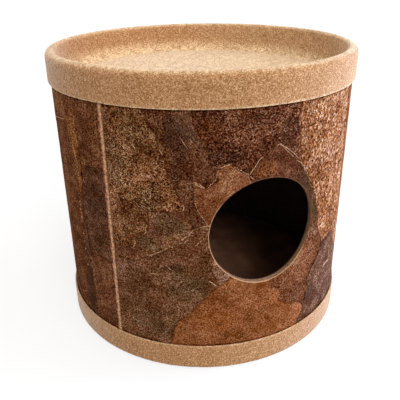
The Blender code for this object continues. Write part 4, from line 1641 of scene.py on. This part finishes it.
FLAKES = [
    Flake(((-27, 299.5), (-21, 308), (-14.5, 318)), 1.0, 0.5),
    Flake(((12, 335.5), (22, 328), (33, 320), (43, 310)), 1.0, 0.5),
    Flake(((-115, 253), (-110.5, 254.5), (-109, 259), (-111, 262)), 1.3, 0.5),
    Flake(((-104, 291.5), (-101, 292.5)), 1.3, 0.5),
    Flake(((-98, 292), (-94, 293), (-90, 288)), 1.0, 0.5),
    Flake(((-186, 189), (-181, 193), (-178.5, 199), (-180.5, 205))),
    Flake(((-164, 214), (-161.5, 219), (-163, 224))),
    Flake(((-159, 155), (-152, 156), (-146, 154)), 1.2, 0.5),
    Flake(((-141, 151), (-135, 152), (-129, 149))),
    Flake(((-118, 146), (-112, 149))),
    Flake(((-136, 172), (-131, 166), (-128, 164)), 1.0),
    Flake(((-96, 203), (-90, 209), (-85, 213))),
    Flake(((-60, 369), (-55, 372))),
    Flake(((-10, 373), (-6, 377))),
    Flake(((-3, 366), (-1, 370), (4, 373))),
    Flake(((41.5, 367), (40.5, 360), (42, 353)), 1.1, 0.5),
    Flake(((-30, 301), (-26, 297), (-22, 292)), 1.0),
    Flake(((-174, 338), (-170, 334), (-168, 329)), 1.0),
    Flake(((-138, 334), (-134, 328))),
    Flake(((-112, 352), (-108, 344), (-103, 337)), 0.8),
    Flake(((-100, 349), (-97, 343)), 0.8),
    Flake(((-314, 61), (-307, 66), (-301, 68)), 1.0, 0.5),
    Flake(((-348, 339.5), (-335, 341), (-320, 344), (-306, 346)), 1.0),
    Flake(((-284, 322), (-285, 312), (-283, 303))),
    Flake(((-80, 149), (-74, 146), (-69, 141)), 1.2),
    Flake(((129, 115), (136, 112.5), (144, 112)), 1.0),
]


@dataclass(frozen=True)
class CrumbRow:
    """A row of short crumbs of torn grain along a tear. Its ends are in flat coordinates, in millimetres."""

    start: tuple[float, float]
    end: tuple[float, float]
    count: int
    length: float = 2.2
    width: float = 1.2
    lift: float = 0.3
    # Millimetres: how far apart crumbs start to differ, and how far one may lie off the row
    chance_size: float = 1.7
    astray: float = 1.3

    def flakes(self) -> list[Flake]:
        """Make the row's crumbs, each turned a little and shorter or longer than the next.

        Returns:
            The crumbs.
        """
        start, end = Vector((*self.start, 0)), Vector((*self.end, 0))
        along = (end - start).normalized()
        crumbs = []
        for i in range(self.count):
            middle = start.lerp(end, (i + 0.5) / self.count)
            chance = noise.noise_vector(middle / self.chance_size)
            middle += chance * self.astray
            half = (along + chance * 0.9).normalized() * self.length / 2 * (1 + 0.6 * chance.z)
            crumbs.append(Flake(((middle - half)[:2], (middle + half)[:2]), self.width, self.lift))
        return crumbs


CRUMBS = [
    CrumbRow((-96, 291), (-84, 285), 5),
    CrumbRow((-81, 283.5), (-69, 296), 7),
    CrumbRow((-68.5, 299), (-66.5, 308), 4),
    CrumbRow((-64, 311), (-50, 316), 6, 2.6, 1.6),
    CrumbRow((-47, 312), (-30, 300), 7, 2.0, 1.0),
    CrumbRow((-96, 282), (-95, 262), 5, 2.0, 0.9),
    CrumbRow((-93, 256), (-83, 240), 5, 2.0, 0.9),
    CrumbRow((-98, 223), (-118, 209), 7, 2.4, 1.1),
    CrumbRow((-104, 213), (-128, 199), 7, 2.4, 1.0),
    CrumbRow((-128, 202), (-158, 182), 9, 2.4, 0.9),
    CrumbRow((-284, 312), (-279, 292), 6, 2.6, 1.8),
    CrumbRow((-279, 286), (-277, 262), 6, 2.4, 1.2),
    CrumbRow((-284, 246), (-286, 196), 8, 3.0, 0.8),
    CrumbRow((-286, 186), (-284, 120), 5, 2.6, 0.7),
    CrumbRow((-271, 148), (-266, 90), 8, 2.8, 0.9),
    CrumbRow((53, 298), (70, 270), 7, 2.4, 0.9),
    CrumbRow((-46, 333), (-38, 326), 3, 2.0, 1.0),
    CrumbRow((-56, 350), (-50, 338), 3, 2.0, 1.0),
]


@dataclass(frozen=True)
class TornFlakes:
    """Slivers of torn grain along the tears, each with one long side loose and lifted."""

    foot: float = 0.2249
    step: float = 0.0006
    # Against its foot: how far the held side is sunk, the ridge stands out and the underside is sunk
    back_sunk: float = 0.0006
    ridge: float = 0.0003
    underside_sunk: float = 0.0007
    wander_size: float = 2.5 * MM
    wander: float = 0.5 * MM
    # Keeps the rounded taper from ending in a point
    blunt: float = 0.12

    def sliver(self, flake: Flake) -> tuple[np.ndarray, np.ndarray]:
        """Work out one sliver: a thin wedge that tapers to both ends.

        Args:
            flake: The sliver to make.

        Returns:
            Rows of flat coordinates and each one's radius, four to each step along the line.
        """
        line = np.array(flake.line) * MM
        lengths = np.concatenate([[0], np.cumsum(np.linalg.norm(np.diff(line, axis=0), axis=1))])
        count = max(4, round(lengths[-1] / self.step))
        places = np.linspace(0, lengths[-1], count)
        middle = np.stack([np.interp(places, lengths, line[:, i]) for i in range(2)], axis=1)
        wander = clouds(in_space(middle), self.wander_size, 2, 21)
        along = np.gradient(middle, axis=0)
        along /= np.linalg.norm(along, axis=1, keepdims=True)
        aside = np.stack([-along[:, 1], along[:, 0]], axis=1)
        middle = middle + aside * wander[:, None] * self.wander
        taper = np.sin(np.linspace(self.blunt, math.pi - self.blunt, count)) ** 0.5
        half = flake.width / 2 * MM * taper * np.clip(1 + 0.9 * wander, 0.35, 1.6)
        lift = flake.lift * MM * taper
        aside = aside * half[:, None]
        flat = np.stack([middle - aside, middle, middle + aside, middle], axis=1)
        radius = np.stack(
            [
                np.full(count, self.foot - self.back_sunk),
                self.foot + 0.5 * lift + self.ridge,
                self.foot + lift,
                np.full(count, self.foot - self.underside_sunk),
            ],
            axis=1,
        )
        return flat.reshape(-1, 2), radius.reshape(-1)

    def build(self) -> None:
        """Make all the slivers as one piece."""
        points, faces, start = [], [], 0
        for flake in FLAKES + [crumb for row in CRUMBS for crumb in row.flakes()]:
            flat, radius = self.sliver(flake)
            points.append(bend(flat, radius))
            count = len(flat) // 4
            for i in range(count - 1):
                for j in range(4):
                    a, b = start + 4 * i + j, start + 4 * i + (j + 1) % 4
                    faces.append([a, a + 4, b + 4, b])
            last = start + len(flat) - 1
            faces += [[start + j for j in range(4)], [last - j for j in range(4)]]
            start += len(flat)
        flakes = add_piece("torn_grain_flakes", np.concatenate(points), faces, TORN_GRAIN.dress())
        settle(flakes, "drum", "leather_tan")


@dataclass(frozen=True)
class SeamStrip:
    """The hand-cut strip over the wrap's upright seam."""

    angle: float = -55.9
    width: float = 0.0060
    proud: float = 0.22535
    underside: float = 0.22375
    step: float = 0.0016
    spacing: float = 1.8 * MM
    back_spacing: float = 8 * MM
    # Its rim is rounded down, and its face is slightly lumpy
    rim: float = 0.5 * MM
    rounding: float = 0.0003
    lump: float = 0.00008
    lump_size: float = 6 * MM
    # The left edge was cut unevenly, the right one nearly straight
    left_wander: float = 0.45
    left_wander_size: float = 7 * MM
    right_wander: float = 0.15
    right_wander_size: float = 40 * MM

    def build(self) -> None:
        """Make the strip, its left edge uneven."""
        low, high = lowest("seam_strip"), highest("seam_strip")
        middle = math.radians(self.angle) * WRAP_RADIUS
        heights = np.linspace(low, high, round((high - low) / self.step))
        place = np.column_stack([np.zeros(len(heights)), heights, np.zeros(len(heights))])
        uneven = np.clip(clouds(place, self.left_wander_size, 3, 1), -0.5, 1)
        left = middle - self.width / 2 + uneven * self.left_wander * MM
        slow = clouds(place, self.right_wander_size, 1, 3)
        right = middle + self.width / 2 + slow * self.right_wander * MM
        outline = np.concatenate(
            [
                [[left[0], low], [right[0], low]],
                np.stack([right, heights], axis=1)[1:],
                np.stack([left, heights], axis=1)[:0:-1],
            ]
        )
        front = FlatMesh([outline], self.spacing, self.rim)
        back = FlatMesh([outline], self.back_spacing)
        across = (front.flat[:, 0] - middle) / self.width + 0.5
        rounded = np.clip(front.edge / self.rim, 0, 1)
        lumps = clouds(in_space(front.flat), self.lump_size, 2, 6)
        outer = self.proud - self.rounding * (1 - rounded) + self.lump * lumps
        finish = StripLeather("split_leather_strip", "#C0906A", "#945C44", "#3C160C")
        attributes = {"flat": in_space(front.flat), "across": across}
        strip = bent_solid("cut_seam_strip", front, back, outer, self.underside, finish.dress(), attributes)
        settle(strip, "drum", "leather_strip", "seam_strip")


@dataclass(frozen=True)
class Lid:
    """The lift-off tray lid: a moulded felt cover over a foam rim, with its hoop, board and underside."""

    felt: float = 0.0024
    rim_width: float = 0.0150
    outer_round: float = 0.0095
    tray_depth: float = 0.0460
    cove: float = 0.0190
    skirt_lap: float = 0.0020
    wall_top: float = 0.3860
    hoop_thickness: float = 0.0018
    hoop_rounding: float = 0.4 * MM
    steps: int = 480
    hoop_steps: int = 300
    longest_step: float = 2.8 * MM
    relief: FeltRelief = FeltRelief(lump=0.00026, lump_seed=1, wave=0.0004, wave_length=80 * MM, wave_seed=7)
    # Painted light ends this many coves above the tray's floor, a painted highlight this far below the crown
    tray_floor_painted_light: float = 0.56
    painted_light_coves: float = 1.2
    crest_painted_highlight: float = 0.45
    painted_highlight_crown: float = 4 * MM
    # Painted light on one side of the tray's wall, which the lamps leave in shade: degrees from +X
    wall_painted_light: float = 0.28
    wall_painted_light_way: float = 0.0
    cut_edge: float = 0.95

    def cover_outline(self) -> tuple[Profile, list[float], list[float]]:
        """The cover's section: its hidden face, then skirt, rolled rim and tray.

        Returns:
            The section, each point's share of roughness and its share of the pale colour for a cut edge and
            painted light.
        """
        radius, top = reach("lid_cover"), highest("lid_cover")
        skirt_low = self.wall_top - self.skirt_lap
        inner_round = self.rim_width - self.outer_round
        crown = radius - self.outer_round
        tray = crown - inner_round
        floor = top - self.tray_depth
        cove_centre = (tray - self.cove, floor + self.cove)
        inner_centre, outer_centre = (crown, top - inner_round), (crown, top - self.outer_round)
        soft = self.felt * SOFT_EDGE
        hidden = [
            (0.0, floor - self.felt),
            *arc(cove_centre, self.cove + self.felt, -90, 0, 10),
            *arc(inner_centre, inner_round - self.felt, 180, 90, 5),
            *arc(outer_centre, self.outer_round - self.felt, 90, 0, 8)[1:],
            (radius - self.felt, skirt_low + soft),
        ]
        shown = [
            *arc((radius - self.felt + soft, skirt_low + soft), soft, 180, 270, 3)[1:],
            *arc((radius - soft, skirt_low + soft), soft, 270, 360, 4),
            *arc(outer_centre, self.outer_round, 0, 90, 10),
            *arc(inner_centre, inner_round, 90, 180, 8)[1:],
            *arc(cove_centre, self.cove, 0, -90, 14),
            (0.0, floor),
        ]
        shown = refined(shown, self.longest_step)
        cove_top = self.cove * self.painted_light_coves
        cut_and_lit = []
        for distance, height in shown:
            # The skirt's cut edge is really paler. Painted light lies on the tray's floor and a painted
            # highlight on the crest
            cut = self.cut_edge * (1 - (height - skirt_low) / CUT_EDGE) if distance > crown else 0.0
            floor_light = self.tray_floor_painted_light * (1 - (height - floor) / cove_top) if distance <= tray else 0.0
            crest = self.crest_painted_highlight * (1 - (top - height) / self.painted_highlight_crown)
            cut_and_lit.append(max(0.0, floor_light, crest, cut))
        smooth = [0.0] * len(hidden)
        return hidden + shown, smooth + [1.0] * len(shown), smooth + cut_and_lit

    def paint_wall_light(self, cover: bpy.types.Object) -> None:
        """Paint light on one side of the tray's wall, which the lamps leave in shade.

        Args:
            cover: The felt cover.
        """
        x, y, height = points_of(cover.data).T
        within = np.hypot(x, y) < reach("lid_cover") - self.outer_round
        wall = within & (height > highest("lid_cover") - self.tray_depth)
        facing = np.maximum(np.cos(np.arctan2(y, x) - math.radians(self.wall_painted_light_way)), 0)
        layer = cover.data.attributes["cut_and_lit"].data
        cut_and_lit = np.empty(len(height), np.float32)
        layer.foreach_get("value", cut_and_lit)
        cut_and_lit = np.maximum(cut_and_lit, wall * facing * self.wall_painted_light)
        layer.foreach_set("value", cut_and_lit.astype(np.float32))

    def cover(self) -> bpy.types.Object:
        """Make the felt cover."""
        outline, rough, cut_and_lit = self.cover_outline()
        turning = Turning(outline, self.steps, rough, cut_and_lit)
        cover = turning.build("felt_lid_cover", CAMEL_FELT.dress(), self.relief.height)
        self.paint_wall_light(cover)
        return settle(cover, "lid", "felt_camel", "lid_cover")

    def hoop(self) -> bpy.types.Object:
        """Make the board hoop that drops inside the wall."""
        outer = reach("lid_hoop")
        inner = outer - self.hoop_thickness
        low, high = lowest("lid_hoop"), highest("lid_hoop")
        soft = self.hoop_rounding
        outline = [
            (inner, high), (inner, low + soft), (inner + soft, low),
            (outer - soft, low), (outer, low + soft), (outer, high),
        ]
        hoop = Turning(outline, self.hoop_steps).build("bent_board_hoop", HOOP_BOARD.dress())
        return settle(hoop, "lid", "tube_board", "lid_hoop")

    def build(self) -> None:
        """Make the cover and the hoop, and dress the pieces within."""
        self.cover()
        self.hoop()
        repaint("lid_rim_core", RIM_FOAM.dress())
        repaint("lid_board", PLY.dress())
        repaint("lid_underside", DARK_FELT.dress())


@dataclass(frozen=True)
class FloorPad:
    """The loose pad: a filled canvas disc with piping along its two seams."""

    fill: float = 0.6
    edge_height: float = 0.026
    # The starting disc is smaller than the pad all round, because the cloth swells
    slack: float = 0.0050
    underside_slack: float = 0.4 * MM
    shoulder_slack: float = 1 * MM
    crown_slack: float = 7 * MM
    corner: float = 5 * MM
    crown_steps: int = 8
    steps: int = 120
    voxel: float = 0.0055
    # The cloth is held over its flat underside and round the upper part of its edge
    held_underside: float = 1.2 * MM
    held_edge: float = 2 * MM
    held_above: float = 16 * MM
    pressure: float = 4.0
    # Share by which the cloth itself grows as it is blown up
    spread: float = 0.05
    frames: int = 20
    swell: float = 0.0060
    piping: float = 0.0016
    piping_low: float = 4 * MM
    piping_high: float = 22 * MM
    piping_steps: int = 240

    def start_mesh(self) -> bpy.types.Object:
        """A flat-sided disc, a little smaller than the pad.

        Returns:
            The disc.
        """
        radius = reach("floor_pad") - self.slack
        bottom = lowest("floor_pad") + self.underside_slack
        shoulder = lowest("floor_pad") + self.edge_height - self.shoulder_slack
        top = highest("floor_pad") - self.crown_slack
        steps_in = [1 - i / self.crown_steps for i in range(1, self.crown_steps)]
        outline = [
            (0.0, bottom),
            *arc((radius - self.corner, bottom + self.corner), self.corner, -90, 0, 4),
            *arc((radius - self.corner, shoulder - self.corner), self.corner, 0, 90, 4),
            *[(radius * share, shoulder + (top - shoulder) * (1 - share**2)) for share in steps_in],
            (0.0, top),
        ]
        return Turning(outline, self.steps).build("floor_pad_cushion", PAD_CANVAS.dress())

    def simulate(self, pad: bpy.types.Object) -> None:
        """Blow the pad up as cloth, its underside and upper edge held, then keep the result.

        Args:
            pad: The pad's starting mesh, which is changed.
        """
        bpy.context.view_layer.objects.active = pad
        remesh = pad.modifiers.new("even_cloth", "REMESH")
        remesh.mode = "VOXEL"
        remesh.voxel_size = self.voxel
        self.apply(pad)
        start = points_of(pad.data)
        radius = np.hypot(start[:, 0], start[:, 1])
        height = start[:, 2] - lowest("floor_pad")
        at_seam = (radius > radius.max() - self.held_edge) & (height > self.held_above)
        fixed = np.flatnonzero((height < self.held_underside) | at_seam)
        pad.vertex_groups.new(name="held").add(fixed.tolist(), 1.0, "REPLACE")
        cloth = pad.modifiers.new("filled_canvas", "CLOTH")
        settings = cloth.settings
        settings.use_pressure = True
        settings.uniform_pressure_force = self.pressure
        settings.vertex_group_mass = "held"
        settings.shrink_min = -self.spread
        settings.bending_stiffness = 1.0
        settings.effector_weights.gravity = 0
        for step in range(1, self.frames + 1):
            bpy.context.scene.frame_set(step)
        self.apply(pad)
        bpy.context.scene.frame_set(1)
        moved = points_of(pad.data) - start
        distance = np.maximum(np.linalg.norm(moved, axis=1), 1e-9)
        moved *= (np.minimum(distance, self.swell) / distance)[:, None]
        move_points(pad.data, start + moved)
        finer = pad.modifiers.new("finer", "SUBSURF")
        finer.levels = finer.render_levels = 1
        self.apply(pad)
        pad.data.shade_smooth()

    @staticmethod
    def apply(pad: bpy.types.Object) -> None:
        """Turn the pad's modifiers into mesh."""
        evaluated = pad.evaluated_get(bpy.context.evaluated_depsgraph_get())
        mesh = bpy.data.meshes.new_from_object(evaluated)
        materials = list(pad.data.materials)
        pad.modifiers.clear()
        pad.data = mesh
        pad.data.materials.clear()
        for material in materials:
            pad.data.materials.append(material)

    def cord(self, name: str, height: float) -> bpy.types.Object:
        """Make one ring of piping.

        Args:
            name: The piece's name.
            height: Height of its middle.

        Returns:
            The piping.
        """
        radius = reach("floor_pad") - self.piping
        outline = arc((radius, height), self.piping, 0, 360, 10)[:-1]
        turning = Turning(outline, self.piping_steps, [1.0] * len(outline))
        piping = turning.build(
            name, PAD_PIPING.dress(), lambda points: 0.0002 * clouds(points, 5 * MM, 2, 9)
        )
        return settle(piping, "pad", "pad_cloth")

    def build(self) -> None:
        """Make the cushion and its piping."""
        pad = self.start_mesh()
        self.simulate(pad)
        settle(pad, "pad", "pad_cloth", "floor_pad")
        low = lowest("floor_pad")
        self.cord("floor_pad_piping_low", low + self.piping_low)
        self.cord("floor_pad_piping_high", low + self.piping_high)


@dataclass(frozen=True)
class Studio:
    """Camera, lamps, floor and white surroundings."""

    image_width: int = 400
    focal_pixels: float = 520.7
    sensor: float = 36.0
    # Measured with the drum's axis at the origin and the camera's way across as X, before the turn below
    camera_place: tuple[float, float, float] = (-0.02329, -0.80798, 0.54506)
    yaw: float = 0.0227
    pitch: float = -0.4412
    roll: float = -0.0143
    turn: float = -20.1
    aim_height: float = 0.21
    sun_distance: float = 3.0
    window_distance: float = 0.66
    window_size: float = 0.5
    window_power: float = 7.2
    sky_strength: float = 0.52
    floor_reach: float = 20.0
    floor_glow: float = 0.7

    def camera(self) -> None:
        """Put the camera where the photograph was taken from."""
        level = math.cos(self.pitch)
        forward = Vector((math.sin(self.yaw) * level, math.cos(self.yaw) * level, math.sin(self.pitch)))
        right = Vector((math.cos(self.yaw), -math.sin(self.yaw), 0))
        up = right.cross(forward)
        cosine, sine = math.cos(self.roll), math.sin(self.roll)
        right, up = cosine * right + sine * up, cosine * up - sine * right
        axes = Matrix((right, up, -forward)).transposed()
        about_drum = Matrix.Rotation(math.radians(self.turn), 4, "Z")
        data = bpy.data.cameras.new("photo_camera")
        data.sensor_width = self.sensor
        data.lens = self.focal_pixels / self.image_width * self.sensor
        data.clip_end = 100
        camera = bpy.data.objects.new("photo_camera", data)
        camera.matrix_world = about_drum @ Matrix.Translation(self.camera_place) @ axes.to_4x4()
        bpy.context.scene.collection.objects.link(camera)
        bpy.context.scene.camera = camera

    def hang(
        self, name: str, kind: str, azimuth: float, elevation: float, distance: float
    ) -> bpy.types.Light:
        """Hang a lamp that points at the drum's middle.

        Args:
            name: The lamp's name.
            kind: The lamp's type.
            azimuth: Degrees from the camera's own side, positive to its right.
            elevation: Degrees above the drum's middle.
            distance: Metres from there.

        Returns:
            The lamp's settings.
        """
        data = bpy.data.lights.new(name, kind)
        around = math.radians(azimuth - 90 + self.turn)
        up = math.radians(elevation)
        way = Vector((math.cos(around) * math.cos(up), math.sin(around) * math.cos(up), math.sin(up)))
        lamp = bpy.data.objects.new(name, data)
        lamp.location = Vector((0, 0, self.aim_height)) + way * distance
        lamp.rotation_euler = way.to_track_quat("Z", "Y").to_euler()
        bpy.context.scene.collection.objects.link(lamp)
        return data

    def lamps(self) -> None:
        """Light the drum softly from all round and above, and more from close by on the right."""
        for name, azimuth, elevation, spread, strength in (
            ("sky_from_the_right", 66, 52, 80, 1.75),
            ("front_light", 20, 35, 22, 1.15),
            ("sky_from_behind", -140, 48, 70, 1.0),
        ):
            sun = self.hang(name, "SUN", azimuth, elevation, self.sun_distance)
            sun.angle = math.radians(spread)
            sun.energy = strength
        window = self.hang("window_on_the_right", "AREA", 86, 12, self.window_distance)
        window.color = linear("#C8DCFF")[:3]
        window.shape = "SQUARE"
        window.size = self.window_size
        window.energy = self.window_power

    def floor(self) -> None:
        """Lay a white floor that keeps the drum's shadow."""
        mesh = bmesh.new()
        bmesh.ops.create_grid(mesh, x_segments=8, y_segments=8, size=self.floor_reach)
        data = bpy.data.meshes.new("floor")
        mesh.to_mesh(data)
        mesh.free()
        floor = bpy.data.objects.new("floor", data)
        bpy.context.scene.collection.objects.link(floor)
        paint = Surface("white_studio_floor")
        paint.tree.nodes.remove(paint.shader)
        ray = paint.add("LightPath").node.outputs
        seen = paint.add("Math", {0: ray["Is Camera Ray"], 1: ray["Is Glossy Ray"]}, operation="MAXIMUM")
        colour = paint.add(
            "Mix", {0: seen, 6: linear("#C4C2BF"), 7: linear("#E9E9E9")}, data_type="RGBA", out=2
        )
        matt = paint.add("BsdfDiffuse", {"Color": colour})
        glow = paint.add("Emission", {"Color": linear("#FFFFFF"), "Strength": 1.0})
        share = paint.add("Math", {0: seen, 1: self.floor_glow}, operation="MULTIPLY")
        mixed = paint.add("MixShader", {0: share, 1: matt, 2: glow})
        paint.join(paint.tree.nodes["Material Output"], {"Surface": mixed})
        data.materials.append(paint.material)

    def world(self) -> None:
        """Surround the drum with soft light, white to the camera."""
        world = bpy.data.worlds.new("soft_studio")
        world.use_nodes = True
        sky = Nodes(world.node_tree)
        soft = sky.tree.nodes["Background"]
        sky.join(soft, {"Color": linear("#FFFAF4"), "Strength": self.sky_strength})
        white = sky.add("Background", {"Color": linear("#FFFFFF"), "Strength": 1.0})
        seen = sky.add("LightPath", out="Is Camera Ray")
        mixed = sky.add("MixShader", {0: seen, 1: soft.outputs[0], 2: white})
        sky.join(sky.tree.nodes["World Output"], {"Surface": mixed})
        bpy.context.scene.world = world

    def build(self) -> None:
        """Set up the camera, the light and the floor."""
        self.camera()
        self.world()
        self.floor()
        self.lamps()
        bpy.context.scene.view_settings.view_transform = "Standard"


def main() -> None:
    """Build the bed from the base up, then the studio round it."""
    logging.basicConfig(level=logging.INFO, format="%(name)s %(message)s")
    noise.seed_set(TEAR_SEED)
    for part in (Studio(), Base(), Wall(), Patchwork(), TornFlakes(), SeamStrip(), Lid(), FloorPad()):
        part.build()
        LOG.info("%s done", type(part).__name__)


if __name__ == "__main__":
    main()
